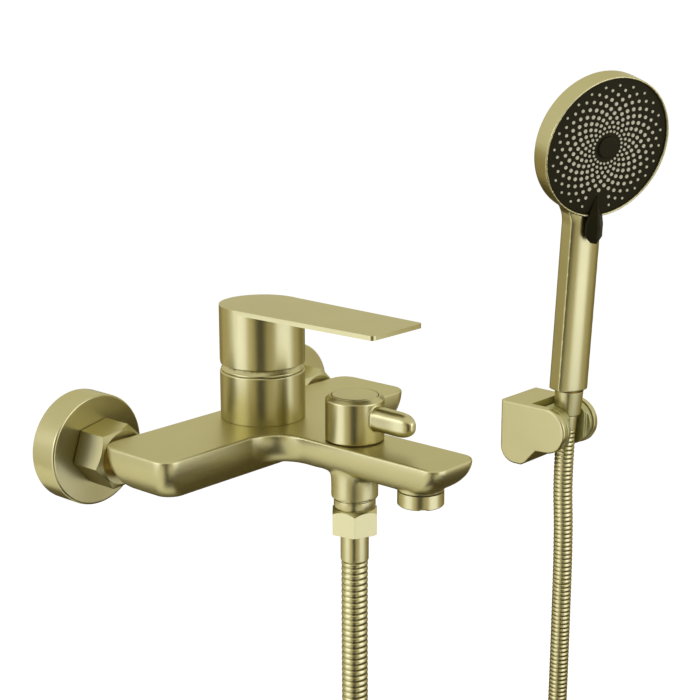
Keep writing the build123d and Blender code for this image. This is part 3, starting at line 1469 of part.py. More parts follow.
hose_meeting = Vector(bracket_x, -hose_short_route[0][0], hose_meeting_height)
hose_start = Vector(0, diverter_y, axis_z + ferrule_bottom - hose_end_gap)
hose_end = cone_origin + up_axis * (upper_ferrule_bottom - hose_end_gap)


def route_radii(points, label):
    """Corner radii of a route: nearly half of the shorter run, shared between its two corners."""
    radii = []
    for a, b, c in zip(points, points[1:], points[2:]):
        first = b - a
        second = c - b
        half_turn = radians(first.get_angle(second)) / 2
        radii.append(0.45 * min(first.length, second.length) / tan(half_turn))
    print(label, "radii", [round(r) for r in radii])
    return radii


def ribbed_hose(points, steady_axis, label):
    """A ribbed hose with its bore along a route of straight runs and tangent arcs."""
    with BuildPart() as hose:
        with BuildLine() as line:
            FilletPolyline(*points, radius=route_radii(points, label))
        route = line.wires()[0]
        length = route.length
        ribs = int((length - 2 * hose_plain_end) / hose_rib_pitch)
        pitch = (length - 2 * hose_plain_end) / ribs
        stations = [(0.0, hose_root_radius)]
        for rib in range(ribs):
            start = hose_plain_end + rib * pitch
            stations += [
                (start + 0.14 * pitch, hose_root_radius), (start + 0.32 * pitch, hose_radius),
                (start + 0.68 * pitch, hose_radius), (start + 0.86 * pitch, hose_root_radius),
            ]
        stations.append((length, hose_root_radius))
        for distance, radius in stations:
            share = min(max(distance / length, 0.0), 1.0)
            where = Plane(origin=route @ share, x_dir=steady_axis, z_dir=route % share)
            with BuildSketch(where):
                Circle(radius)
        loft(ruled=True)
        with BuildSketch(Plane(origin=route @ 0, x_dir=steady_axis, z_dir=route % 0)):
            Circle(hose_bore_radius)
        sweep(path=route, mode=Mode.SUBTRACT)
    solid_area = pi * ((hose_radius ** 2 + hose_root_radius ** 2) / 2 - hose_bore_radius ** 2)
    print(label, "length", round(length), "ribs", ribs,
          "volume over section times length", round(hose.part.volume / solid_area / length, 3))
    return hose


hang_line = Vector(hose_meeting.X - hose_start.X, hose_meeting.Y - hose_start.Y, 0).normalized()
long_points = [hose_start]
for distance, height in hose_long_route:
    long_points.append(Vector(0, diverter_y, height) + hang_line * distance)
long_points.append(hose_meeting)
hose_lower = ribbed_hose(long_points, hang_line.cross(Vector(0, 0, 1)), "hose_lower")
save(hose_lower, "hose_lower")

short_points = [hose_meeting + Vector(0, 0, hose_end_gap)]
for distance, height in hose_short_route:
    short_points.append(Vector(bracket_x, -distance, height))
short_points.append(hose_end - up_axis * hose_straight_top)
short_points.append(hose_end)
hose_upper = ribbed_hose(short_points, Vector(1, 0, 0), "hose_upper")
save(hose_upper, "hose_upper")
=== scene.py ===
import math

import bmesh
import bpy
from bpy.props import FloatProperty, FloatVectorProperty, IntProperty, PointerProperty
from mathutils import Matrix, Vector


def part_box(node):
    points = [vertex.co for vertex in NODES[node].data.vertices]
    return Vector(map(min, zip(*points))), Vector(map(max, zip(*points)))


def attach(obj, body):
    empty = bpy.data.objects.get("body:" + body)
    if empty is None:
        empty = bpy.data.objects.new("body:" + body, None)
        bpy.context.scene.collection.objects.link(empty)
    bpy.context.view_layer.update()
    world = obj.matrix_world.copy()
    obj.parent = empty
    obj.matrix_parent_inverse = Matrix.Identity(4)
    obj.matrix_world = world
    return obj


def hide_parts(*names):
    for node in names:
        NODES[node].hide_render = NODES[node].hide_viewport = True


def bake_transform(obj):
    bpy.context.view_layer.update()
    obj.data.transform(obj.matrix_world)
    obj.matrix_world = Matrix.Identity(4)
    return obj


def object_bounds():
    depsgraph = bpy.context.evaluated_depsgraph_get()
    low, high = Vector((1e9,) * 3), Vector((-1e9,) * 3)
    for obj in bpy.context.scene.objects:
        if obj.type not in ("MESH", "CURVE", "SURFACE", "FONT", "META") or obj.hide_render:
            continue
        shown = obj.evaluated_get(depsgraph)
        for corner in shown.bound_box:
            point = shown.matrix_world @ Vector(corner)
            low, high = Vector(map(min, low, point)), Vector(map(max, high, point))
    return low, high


bl_info = {
    "name": "Bath mixer with hand shower",
    "version": (1, 0, 0),
    "blender": (4, 5, 0),
    "location": "View3D > Sidebar > Bath Mixer",
    "description": "Dresses the bath mixer, its hose, wall bracket and hand shower",
    "category": "Object",
}

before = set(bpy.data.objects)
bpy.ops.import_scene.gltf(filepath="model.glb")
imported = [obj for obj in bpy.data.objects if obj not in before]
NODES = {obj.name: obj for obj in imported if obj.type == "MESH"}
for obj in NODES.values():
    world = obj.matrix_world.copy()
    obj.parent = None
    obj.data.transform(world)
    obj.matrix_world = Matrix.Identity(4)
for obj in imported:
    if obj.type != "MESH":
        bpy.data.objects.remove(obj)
cad_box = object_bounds()

# The frame is in metres: wall at y = 0, the user on the -Y side, +Z up
MM = 0.001
# Axis of the hose outlet, and the middle of the wall bracket
OUTLET_PLACE = (0.0, -130.9 * MM)
BRACKET_X = 333.7 * MM

# Colours


def linear(hex_colour):
    """An sRGB hex colour as linear red, green, blue and full alpha."""
    channels = [int(hex_colour[i:i + 2], 16) / 255 for i in (1, 3, 5)]
    return tuple(
        c / 12.92 if c <= 0.04045 else ((c + 0.055) / 1.055) ** 2.4 for c in channels
    ) + (1.0,)


def colour_property(name, description, hex_colour):
    """A colour a user may change, with its default from a hex value."""
    return FloatVectorProperty(
        name=name, description=description, subtype="COLOR", size=4, min=0, max=1,
        default=linear(hex_colour),
    )


class MixerFinish(bpy.types.PropertyGroup):
    """Colours and surface values of the finishes."""

    gold: colour_property("Gold", "Colour of the brushed gold plating", "#b8b07c")
    face_black: colour_property("Face black", "Colour of the spray face", "#1b190e")
    nozzle_pale: colour_property("Nozzle", "Colour of the silicone nozzles", "#c6c2a2")
    gold_edge: colour_property(
        "Gold edge", "Colour of what the gold reflects at a low angle", "#e3dfc9"
    )
    gold_roughness: FloatProperty(
        name="Gold roughness", description="How far the brushing spreads reflections",
        default=0.29, min=0.02, max=1.0,
    )


class MixerSizes(bpy.types.PropertyGroup):
    """Sizes a user may change."""

    edge_round: FloatProperty(
        name="Edge round", description="Radius of the small rounds on machined edges",
        default=0.5 * MM, min=0.05 * MM, max=2 * MM, unit="LENGTH",
    )
    rib_pitch: FloatProperty(
        name="Rib pitch", description="Distance between two ribs of the hose",
        default=3.2 * MM, min=2 * MM, max=8 * MM, unit="LENGTH",
    )
    rib_depth: FloatProperty(
        name="Rib depth", description="Height of a rib over its groove",
        default=0.8 * MM, min=0.2 * MM, max=2 * MM, unit="LENGTH",
    )
    rib_sides: IntProperty(
        name="Hose sides", description="Faces around the hose", default=28, min=8, max=64,
    )


# Materials


def add_node(tree, kind, settings=(), links=()):
    """Adds one node: settings are (socket or attribute, value), links are (socket, output)."""
    node = tree.nodes.new(kind)
    for name, value in settings:
        if isinstance(name, int) or name in node.inputs:
            node.inputs[name].default_value = value
        else:
            setattr(node, name, value)
    for name, output in links:
        tree.links.new(output, node.inputs[name])
    return node


def new_material(name):
    """An empty node material, and its node tree."""
    material = bpy.data.materials.new(name)
    material.use_nodes = True
    material.node_tree.nodes.clear()
    return material, material.node_tree


def spread(tree, noise, margin, low, high):
    """Maps the middle of a noise, all but a margin at each side, onto low to high."""
    node = add_node(
        tree, "ShaderNodeMapRange",
        [("From Min", margin), ("From Max", 1 - margin), ("To Min", low), ("To Max", high)],
        [("Value", noise)],
    )
    return node.outputs[0]


def finish_material(tree, shader_settings, shader_links):
    """Principled shader into the output."""
    shader = add_node(tree, "ShaderNodeBsdfPrincipled", shader_settings, shader_links)
    add_node(tree, "ShaderNodeOutputMaterial", links=(("Surface", shader.outputs[0]),))


# Distance between emery lines, drawn coarser than the real 0.1 mm to show at all, and the
# length of one
LINE_SPACING = 0.4 * MM
LINE_LENGTH = 30 * MM
# Faint cloudiness of the plating
CLOUD_SIZE = 35 * MM
# Directions in which emery lines run, as the axes along which the pattern is fine
AROUND_X = (True, False, False)
AROUND_Y = (False, True, False)
AROUND_Z = (False, False, True)
ALONG_X = (False, True, True)
ALONG_Z = (True, True, False)


def brushed_gold(name, fine_axes, roughness, colour, edge):
    """Satin gold plating over emery-brushed metal. It spreads each reflection into a soft band,
    with faint lines along the directions in which the pattern is coarse."""
    material, tree = new_material(name)
    place = add_node(tree, "ShaderNodeTexCoord")
    scale = tuple(1 / (LINE_SPACING if fine else LINE_LENGTH) for fine in fine_axes)
    stretch = add_node(
        tree, "ShaderNodeMapping", [("Scale", scale)], [("Vector", place.outputs["Object"])]
    )
    lines = add_node(
        tree, "ShaderNodeTexNoise",
        [("Scale", 1.0), ("Detail", 3.0), ("Roughness", 0.65)],
        [("Vector", stretch.outputs[0])],
    )
    cloud = add_node(
        tree, "ShaderNodeTexNoise",
        [("Scale", 1 / CLOUD_SIZE), ("Detail", 2.0)], [("Vector", place.outputs["Object"])],
    )
    rough = spread(tree, lines.outputs[0], 0.3, roughness - 0.01, roughness + 0.02)
    tone = spread(tree, cloud.outputs[0], 0.3, 0.97, 1.03)
    streak = spread(tree, lines.outputs[0], 0.25, 0.98, 1.01)
    level = add_node(
        tree, "ShaderNodeMath", [("operation", "MULTIPLY")], [(0, tone), (1, streak)]
    )
    tint = add_node(
        tree, "ShaderNodeVectorMath",
        [("operation", "SCALE"), (0, colour[:3])], [("Scale", level.outputs[0])],
    )
    bump = add_node(
        tree, "ShaderNodeBump",
        [("Strength", 0.012), ("Distance", 0.02 * MM)], [("Height", lines.outputs[0])],
    )
    finish_material(
        tree,
        [("Metallic", 1.0), ("Specular Tint", edge)],
        [("Base Color", tint.outputs[0]), ("Roughness", rough), ("Normal", bump.outputs[0])],
    )
    return material


def moulded_plastic(name, colour, roughness, grain_mm=0.4, grain_height=0.03, specular=0.5,
                    tint=(1.0, 1.0, 1.0, 1.0)):
    """Injection-moulded plastic: an even satin skin with a very fine spark-eroded grain."""
    material, tree = new_material(name)
    place = add_node(tree, "ShaderNodeTexCoord")
    grain = add_node(
        tree, "ShaderNodeTexNoise",
        [("Scale", 1 / (grain_mm * MM)), ("Detail", 2.0)], [("Vector", place.outputs["Object"])],
    )
    bump = add_node(
        tree, "ShaderNodeBump",
        [("Strength", grain_height), ("Distance", 0.1 * MM)], [("Height", grain.outputs[0])],
    )
    rough = spread(tree, grain.outputs[0], 0.3, roughness - 0.03, roughness + 0.03)
    finish_material(
        tree,
        [("Base Color", colour), ("IOR", 1.5), ("Specular IOR Level", specular),
         ("Specular Tint", tint)],
        [("Roughness", rough), ("Normal", bump.outputs[0])],
    )
    return material


def turned_metal(name, colour, roughness):
    """Bare turned metal: fine tool marks about 0.2 mm across dull the reflections."""
    material, tree = new_material(name)
    place = add_node(tree, "ShaderNodeTexCoord")
    marks = add_node(
        tree, "ShaderNodeTexNoise",
        [("Scale", 1 / (0.2 * MM)), ("Detail", 1.0)], [("Vector", place.outputs["Object"])],
    )
    rough = spread(tree, marks.outputs[0], 0.3, roughness - 0.05, roughness + 0.05)
    finish_material(tree, [("Base Color", colour), ("Metallic", 1.0)], [("Roughness", rough)])
    return material


# Mesh helpers

# Corners of the CAD mesh closer than this are one
WELD_DISTANCE = 0.002 * MM
# Faces that meet at less than this angle, in degrees, are one
FLAT_DEGREES = 0.5
# Passes that draw out a larger inside round
FLOW_ROUNDS = 40


def welded(node, name):
    """A copy of a CAD node's mesh whose split edges are joined again."""
    mesh = NODES[node].data.copy()
    mesh.name = name
    work = bmesh.new()
    work.from_mesh(mesh)
    bmesh.ops.remove_doubles(work, verts=work.verts, dist=WELD_DISTANCE)
    work.to_mesh(mesh)
    work.free()
    if "custom_normal" in mesh.attributes:
        mesh.attributes.remove(mesh.attributes["custom_normal"])
    mesh.materials.clear()
    return mesh


def stand_in(mesh, name, node, body, material):
    """Links a finished mesh in a CAD node's place."""
    mesh.materials.append(material)
    piece = bpy.data.objects.new(name, mesh)
    bpy.context.scene.collection.objects.link(piece)
    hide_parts(node)
    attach(piece, body)
    return piece


def mark_sharp(mesh, sharp_degrees):
    """Smooth faces that stay crisp along edges sharper than an angle."""
    work = bmesh.new()
    work.from_mesh(mesh)
    bmesh.ops.dissolve_limit(
        work, angle_limit=math.radians(FLAT_DEGREES), verts=work.verts, edges=work.edges
    )
    sharp = math.radians(sharp_degrees)
    for edge in work.edges:
        edge.smooth = len(edge.link_faces) == 2 and edge.calc_face_angle(0) < sharp
    for face in work.faces:
        face.smooth = True
    work.to_mesh(mesh)
    work.free()


def soften(node, body, material, voxel, rounds, keep=0.35, flow=None):
    """A cast or moulded piece: a CAD copy rebuilt in small even faces and relaxed, so every edge
    and inside corner gets a soft round. Flow is a test for points that get a larger one."""
    source = bpy.data.objects.new(node + " source", welded(node, node + " source"))
    bpy.context.scene.collection.objects.link(source)
    rebuild = source.modifiers.new("even faces", "REMESH")
    rebuild.mode = "VOXEL"
    rebuild.voxel_size = voxel
    rebuild.use_smooth_shade = True
    relax = source.modifiers.new("soft edges", "SMOOTH")
    relax.factor = 0.5
    relax.iterations = rounds
    thin = source.modifiers.new("fewer faces", "DECIMATE")
    thin.ratio = keep
    bpy.context.view_layer.update()
    graph = bpy.context.evaluated_depsgraph_get()
    mesh = bpy.data.meshes.new_from_object(source.evaluated_get(graph))
    mesh.name = node + "_finished"
    old = source.data
    bpy.data.objects.remove(source)
    bpy.data.meshes.remove(old)
    if flow:
        work = bmesh.new()
        work.from_mesh(mesh)
        points = [v for v in work.verts if flow(v.co)]
        for _ in range(FLOW_ROUNDS):
            bmesh.ops.smooth_vert(
                work, verts=points, factor=0.5, use_axis_x=True, use_axis_y=True, use_axis_z=True
            )
        work.to_mesh(mesh)
        work.free()
    return stand_in(mesh, node + "_finished", node, body, material)


def dress(node, body, material, bevel=None, sharp_degrees=20.0):
    """Stands a clean, softly edged copy in for a CAD node, in its finish."""
    mesh = welded(node, node + "_finished")
    mark_sharp(mesh, sharp_degrees)
    piece = stand_in(mesh, node + "_finished", node, body, material)
    if bevel:
        rounding = piece.modifiers.new("edge round", "BEVEL")
        rounding.width = bevel
        rounding.segments = 3
        rounding.limit_method = "ANGLE"
        rounding.angle_limit = math.radians(sharp_degrees)
        rounding.harden_normals = True
        rounding.use_clamp_overlap = True
    return piece


def coat(node, material):
    """Gives a CAD node its material."""
    data = NODES[node].data
    data.materials.clear()
    data.materials.append(material)


def finish():
    """The colours and surface values that the scene holds."""
    return bpy.context.scene.mixer_finish


def sizes():
    """The sizes that the scene holds."""
    return bpy.context.scene.mixer_sizes


def gold(lines):
    """Brushed gold whose lines run one way, made once for each way."""
    ways = {AROUND_X: "around x", AROUND_Y: "around y", AROUND_Z: "around z",
            ALONG_Z: "along z"}
    name = "brushed gold plating " + ways[lines]
    found = bpy.data.materials.get(name)
    return found or brushed_gold(
        name, lines, finish().gold_roughness, finish().gold[:], finish().gold_edge[:]
    )


# Pieces

# Colours of the inner pieces' materials
BRASS = "#c8a86a"
STEEL = "#b5b5b2"
RUBBER = "#141414"
ACETAL = "#dcdcd8"


class MIXER_OT_wall_unions(bpy.types.Operator):
    """Escutcheons, union nuts, eccentric unions and inlet tails"""

    bl_idname = "mixer.wall_unions"
    bl_label = "Wall unions"

    def execute(self, context):
        edge = sizes().edge_round
        brass = turned_metal("turned brass", linear(BRASS), 0.3)
        for side in ("left", "right"):
            dress(f"escutcheon_{side}", "root", gold(AROUND_Y), edge)
            dress(f"union_nut_{side}", "root", gold(AROUND_Y), edge)
            coat(f"s_union_{side}", brass)
            coat(f"inlet_tail_{side}", brass)
        coat("union_washers", moulded_plastic("pressed fibre", linear("#7d4030"), 0.8))
        return {"FINISHED"}


# Ring of the casting round the hose outlet's boss, by distance from its axis and by height
BOSS_INNER, BOSS_OUTER = 11.5 * MM, 19 * MM
BOSS_LOW, BOSS_HIGH = -8 * MM, 6 * MM
# The casting is emery-brushed a little coarser than the turned pieces
CASTING_ROUGHER = 0.06


class MIXER_OT_body(bpy.types.Operator):
    """Mixer body with crossbar and spout"""

    bl_idname = "mixer.body"
    bl_label = "Mixer body"

    def execute(self, context):
        outlet = Vector(OUTLET_PLACE)

        def beside_outlet(point):
            """Where the casting flows from its underside into the hose outlet's boss."""
            away = (point.xy - outlet).length
            return BOSS_INNER < away < BOSS_OUTER and BOSS_LOW < point.z < BOSS_HIGH

        look = finish()
        cast = brushed_gold(
            "brushed gold plating on the casting", ALONG_X, look.gold_roughness + CASTING_ROUGHER,
            look.gold[:], look.gold_edge[:],
        )
        soften(
            "mixer_body", "root", cast, voxel=0.5 * MM, rounds=8,
            flow=beside_outlet,
        )
        return {"FINISHED"}


class MIXER_OT_lever(bpy.types.Operator):
    """Cartridge column and lever handle"""

    bl_idname = "mixer.lever"
    bl_label = "Cartridge and lever"

    def execute(self, context):
        edge = sizes().edge_round
        dress("cartridge_sleeve", "root", gold(AROUND_Z), edge / 2)
        dress("bonnet_ring", "root", gold(AROUND_Z), edge / 2)
        dress("lever_handle", "lever", gold(AROUND_Z), edge)
        plug = moulded_plastic("moulded index plug", linear("#20211f"), 0.35)
        coat("index_plug", plug)
        steel = turned_metal("stainless steel", linear(STEEL), 0.3)
        for node in ("handle_set_screw", "cartridge_stem", "lever_pivot_pin"):
            coat(node, steel)
        brass = turned_metal("turned brass cartridge", linear(BRASS), 0.3)
        coat("retaining_nut", brass)
        ceramic = moulded_plastic("lapped alumina", linear("#ece9e2"), 0.15)
        for node in ("fixed_disc", "moving_disc"):
            coat(node, ceramic)
        acetal = moulded_plastic("moulded acetal", linear(ACETAL), 0.45)
        for node in ("cartridge_housing", "cartridge_base", "stem_carrier"):
            coat(node, acetal)
        coat("cartridge_seals", moulded_plastic("moulded rubber", linear(RUBBER), 0.7))
        return {"FINISHED"}


class MIXER_OT_diverter(bpy.types.Operator):
    """Diverter with its knob"""

    bl_idname = "mixer.diverter"
    bl_label = "Diverter"

    def execute(self, context):
        edge = sizes().edge_round
        soften(
            "diverter_knob", "diverter", gold(AROUND_Z), voxel=0.35 * MM,
            rounds=5, keep=0.5,
        )
        dress("diverter_cap", "diverter", gold(AROUND_Z), edge)
        brass = turned_metal("turned brass diverter", linear(BRASS), 0.3)
        for node in ("diverter_housing", "diverter_nut", "diverter_rotor"):
            coat(node, brass)
        coat("diverter_screw", turned_metal("screw steel", linear(STEEL), 0.3))
        coat("diverter_o_rings", moulded_plastic("nitrile rubber", linear(RUBBER), 0.7))
        return {"FINISHED"}


class MIXER_OT_outlets(bpy.types.Operator):
    """Aerator, hose outlet nipple, hose nut and ferrule"""

    bl_idname = "mixer.outlets"
    bl_label = "Aerator and hose outlet"

    def execute(self, context):
        edge = sizes().edge_round
        dress("aerator_housing", "root", gold(AROUND_Z), edge / 2)
        coat("aerator_insert", moulded_plastic("moulded insert", linear("#3a3a36"), 0.5))
        coat("aerator_washer", moulded_plastic("washer rubber", linear(RUBBER), 0.7))
        for node in ("outlet_nipple", "hose_nut", "ferrule_lower"):
            dress(node, "root", gold(AROUND_Z), edge / 2)
        coat("hose_washer_lower", moulded_plastic("hose washer rubber", linear(RUBBER), 0.7))
        return {"FINISHED"}


class MIXER_OT_bracket(bpy.types.Operator):
    """Wall bracket with its tilting cradle"""

    bl_idname = "mixer.bracket"
    bl_label = "Wall bracket"

    def execute(self, context):
        soften(
            "bracket_body", "root", gold(AROUND_Z), voxel=0.45 * MM, rounds=5
        )
        sprayed = brushed_gold(
            "sprayed gold plastic", AROUND_X, 0.45, linear("#a8a470"), finish().gold_edge[:]
        )
        soften("cradle", "holder", sprayed, voxel=0.4 * MM, rounds=5)
        steel = turned_metal("bracket steel", linear(STEEL), 0.3)
        for node in ("bracket_clamp_screw", "pivot_stubs"):
            coat(node, steel)
        acetal = moulded_plastic("bracket acetal", linear(ACETAL), 0.45)
        for node in ("wall_plate", "friction_washers"):
            coat(node, acetal)
        return {"FINISHED"}


class MIXER_OT_handset(bpy.types.Operator):
    """Hand shower shell, conical nut and the parts inside"""

    bl_idname = "mixer.handset"
    bl_label = "Hand shower"

    def execute(self, context):
        edge = sizes().edge_round
        soften(
            "handset_shell", "handset", gold(ALONG_Z), voxel=0.6 * MM, rounds=7
        )
        for node in ("conical_nut", "ferrule_upper"):
            dress(node, "hose_end", gold(AROUND_Z), edge / 2)
        coat("handset_inlet", turned_metal("turned inlet brass", linear(BRASS), 0.3))
        acetal = moulded_plastic("waterway acetal", linear(ACETAL), 0.45)
        for node in ("water_pipe", "chamber_plate", "selector_disc"):
            coat(node, acetal)
        coat("hose_washer_upper", moulded_plastic("upper washer rubber", linear(RUBBER), 0.7))
        return {"FINISHED"}


class MIXER_OT_spray_face(bpy.types.Operator):
    """Spray face with nozzles, cap and selector"""

    bl_idname = "mixer.spray_face"
    bl_label = "Spray face"

    def execute(self, context):
        # Moulded ABS in satin black, whose weak shine has the gold's tint
        black = moulded_plastic(
            "moulded black face", finish().face_black[:], 0.45, specular=0.15,
            tint=linear("#e6d68c"),
        )
        edge = sizes().edge_round
        dress("spray_faceplate", "spray_face", black)
        dress("face_cap", "spray_face", black, edge)
        soften(
            "selector_lever", "spray_face", black, voxel=0.3 * MM, rounds=3,
            keep=0.5,
        )
        pale = moulded_plastic("silicone nozzles", finish().nozzle_pale[:], 0.5)
        dress("nozzle_mat", "spray_face", pale)
        coat("face_screw", turned_metal("face screw steel", linear(STEEL), 0.3))
        return {"FINISHED"}


# Hose

HOSE_DIAMETER = 14.0 * MM
# Rings of vertices that draw one rib
RINGS_PER_RIB = 8
# Where the long and the short stretch meet below the cradle, the short one's bend above it, and
# its end in the upper ferrule
MEETING = (BRACKET_X, -42.9 * MM, -186.0 * MM)
SHORT_BEND = (BRACKET_X, -42.9 * MM, -147.0 * MM)
UPPER_END = (BRACKET_X, -41.92 * MM, -68.1 * MM)
# Distance along the upright plane from the outlet to the bracket, and height, in millimetres
LONG_ROUTE = [
    (0.0, -150.0), (6.0, -290.0), (26.0, -430.0), (76.0, -543.0), (172.0, -608.0),
    (268.0, -543.0), (319.0, -456.0), (340.0, -366.0), (345.10, -276.0),
]
# Straight length below the upper ferrule, and the lean of the cradle's cone
STRAIGHT_TOP = 38.0 * MM
CONE_LEAN = math.radians(2.85)


def smooth_line(name, points):
    """A smooth NURBS line that follows the hose's route, as Blender's own curve."""
    curve = bpy.data.curves.new(name, "CURVE")
    curve.dimensions = "3D"
    spline = curve.splines.new("NURBS")
    spline.points.add(len(points) - 1)
    for point, place in zip(spline.points, points):
        point.co = (*place, 1.0)
    spline.order_u = 3
    spline.use_endpoint_u = True
    spline.resolution_u = 24
    return curve


def points_along(curve):
    """Points read from the evaluated line, in order."""
    holder = bpy.data.objects.new(curve.name + " reader", curve)
    bpy.context.scene.collection.objects.link(holder)
    bpy.context.view_layer.update()
    graph = bpy.context.evaluated_depsgraph_get()
    mesh = bpy.data.meshes.new_from_object(holder.evaluated_get(graph))
    line = [v.co.copy() for v in mesh.vertices]
    bpy.data.objects.remove(holder)
    bpy.data.meshes.remove(mesh)
    return line


def resample(line, spacing):
    """Evenly spaced points along a line, and its length."""
    runs = [(b - a).length for a, b in zip(line, line[1:])]
    total = sum(runs)
    count = max(2, round(total / spacing))
    places, walked, index = [], 0.0, 0
    for step in range(count + 1):
        wanted = total * step / count
        while index < len(runs) - 1 and walked + runs[index] < wanted:
            walked += runs[index]
            index += 1
        share = (wanted - walked) / runs[index]
        places.append(line[index].lerp(line[index + 1], min(max(share, 0.0), 1.0)))
    return places, total


def ribbed_tube(name, line, radius, depth, pitch, sides, material):
    """A hose of close, rounded ribs: rings of vertices that follow the line."""
    places, total = resample(line, pitch / RINGS_PER_RIB)
    mesh = bpy.data.meshes.new(name)
    work = bmesh.new()
    ribs = round(total / pitch)
    normal = None
    rings = []
    for i, place in enumerate(places):
        ahead = places[min(i + 1, len(places) - 1)] - places[max(i - 1, 0)]
        direction = ahead.normalized()
        if normal is None:
            normal = direction.orthogonal().normalized()
        normal = (normal - direction * normal.dot(direction)).normalized()
        across = direction.cross(normal)
        phase = i / (len(places) - 1) * ribs
        wave = abs(math.sin(math.pi * phase)) ** 0.5
        ring_radius = radius - depth * (1 - wave)
        rings.append([
            work.verts.new(place + (normal * math.cos(t) + across * math.sin(t)) * ring_radius)
            for t in (2 * math.pi * k / sides for k in range(sides))
        ])
    for first, second in zip(rings, rings[1:]):
        for k in range(sides):
            work.faces.new((first[k], first[(k + 1) % sides], second[(k + 1) % sides], second[k]))
    work.faces.new(reversed(rings[0]))
    work.faces.new(rings[-1])
    for face in work.faces:
        face.smooth = len(face.verts) == 4
    work.to_mesh(mesh)
    work.free()
    mesh.materials.append(material)
    tube = bpy.data.objects.new(name, mesh)
    bpy.context.scene.collection.objects.link(tube)
    return tube, total


class MIXER_OT_hose(bpy.types.Operator):
    """Ribbed hose from the outlet down in a loop and up to the hand shower"""

    bl_idname = "mixer.hose"
    bl_label = "Hose"

    def execute(self, context):
        wound_gold = gold(AROUND_X)
        start = Vector((*OUTLET_PLACE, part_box("ferrule_lower")[0].z))
        meeting = Vector(MEETING)
        along = Vector((meeting.x - start.x, meeting.y - start.y, 0)).normalized()
        long_points = [start]
        for distance, height in LONG_ROUTE:
            place = Vector((*OUTLET_PLACE, height * MM)) + along * distance * MM
            long_points.append(place)
        long_points.append(meeting)
        up = Vector((0, -math.sin(CONE_LEAN), math.cos(CONE_LEAN)))
        end = Vector(UPPER_END)
        short_points = [meeting, Vector(SHORT_BEND), end - up * STRAIGHT_TOP, end]
        s = sizes()
        stretches = (("hose_long_stretch", long_points), ("hose_short_stretch", short_points))
        made = []
        for name, points in stretches:
            line = points_along(smooth_line(name + " route", points))
            tube, total = ribbed_tube(
                name, line, HOSE_DIAMETER / 2, s.rib_depth, s.rib_pitch, s.rib_sides, wound_gold
            )
            made.append((tube, line, total))
        (long_tube, long_line, long_total), (short_tube, short_line, short_total) = made
        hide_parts("hose_lower")
        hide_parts("hose_upper")
        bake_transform(long_tube)
        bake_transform(short_tube)
        return {"FINISHED"}


# Camera and studio

CAMERA_AZIMUTH = math.radians(-48.80)
CAMERA_ELEVATION = math.radians(13.91)
CAMERA_DISTANCE = 900 * MM
# Focal length in the photo's pixels, the photo's width and the camera's sensor
FOCAL_PIXELS = 1565.58
IMAGE_WIDTH = 700
SENSOR_MM = 36.0
CAMERA_TARGET = Vector((77.27, -60.0, 40.13)) * MM
# Point at which the lamps aim
AIM = Vector((0.12, -0.08, 0.0))
# Place on Y of the upright axis that lamps and cards stand round
RING_CENTRE_Y = -0.08
# Floor's gap below the lowest piece, and half its width in metres
FLOOR_DROP = 12 * MM
FLOOR_HALF_SIZE = 60.0
# Glow that lifts the pale paint to white, and the room's light, itself and as the camera sees it
FLOOR_LIFT = 0.5
ROOM_LIGHT, ROOM_SEEN = 0.55, 1.0
# Name, angle from the camera's side, distance, height, width and height, brightness over white
LAMPS = (
    ("left strip softbox", -88, 1.3, 0.0, (0.35, 1.6), 1.3),
    ("right strip softbox", 96, 1.3, 0.0, (0.35, 1.6), 1.3),
    ("front softbox", 38, 1.5, 0.5, (0.7, 0.7), 1.6),
    ("top softbox", 150, 0.9, 1.3, (1.2, 0.9), 1.5),
)
# Cards that only reflections show: name, angle from the camera's side, distance, height, width
# and height, colour, brightness, and whether the card lies flat. A flat card's first size points
# at the mixer.
CARDS = (
    ("white card left", -59, 1.3, -0.27, (0.9, 1.9), "#dce1ff", 2.6, False),
    ("bright card upper left", -61, 1.27, 0.42, (1.0, 0.5), "#dce1ff", 4.5, False),
    ("grey card left of the camera", -27, 1.3, -0.27, (0.52, 1.9), "#c9bf9c", 1.35, False),
    ("black card by the camera", -3, 1.29, -0.27, (0.66, 1.9), "#3a2f18", 0.01, False),
    ("grey card right of the camera", 25, 1.3, -0.27, (0.7, 1.9), "#c9bf9c", 1.05, False),
    ("white card right", 62.5, 1.3, -0.27, (1.06, 1.9), "#dce1ff", 2.6, False),
    ("bright card upper right", 61, 1.27, 0.42, (0.98, 0.5), "#dce1ff", 4.0, False),
    ("grey card far right", 106, 1.3, -0.65, (0.6, 1.3), "#cfc6a6", 1.0, False),
    ("brown card back right", 135, 1.3, -0.65, (0.8, 1.3), "#b0a070", 0.7, False),
    ("grey card far left", -110, 1.3, -0.65, (0.8, 1.3), "#cfc6a6", 1.1, False),
    ("brown card back left", -146, 1.3, -0.65, (0.8, 1.3), "#b8aa80", 0.9, False),
    ("brown card behind", 180, 1.25, -0.65, (1.1, 1.3), "#8a7a4c", 0.5, False),
    ("brown card on the floor", 180, 0.85, -0.6, (1.3, 1.2), "#7a6c40", 0.5, True),
    ("brown card on the floor right", 98, 0.75, -0.606, (1.3, 1.3), "#6a5c34", 0.7, True),
    ("dark strip on the floor", -3, 0.75, -0.6, (1.3, 0.36), "#3a2f18", 0.3, True),
)


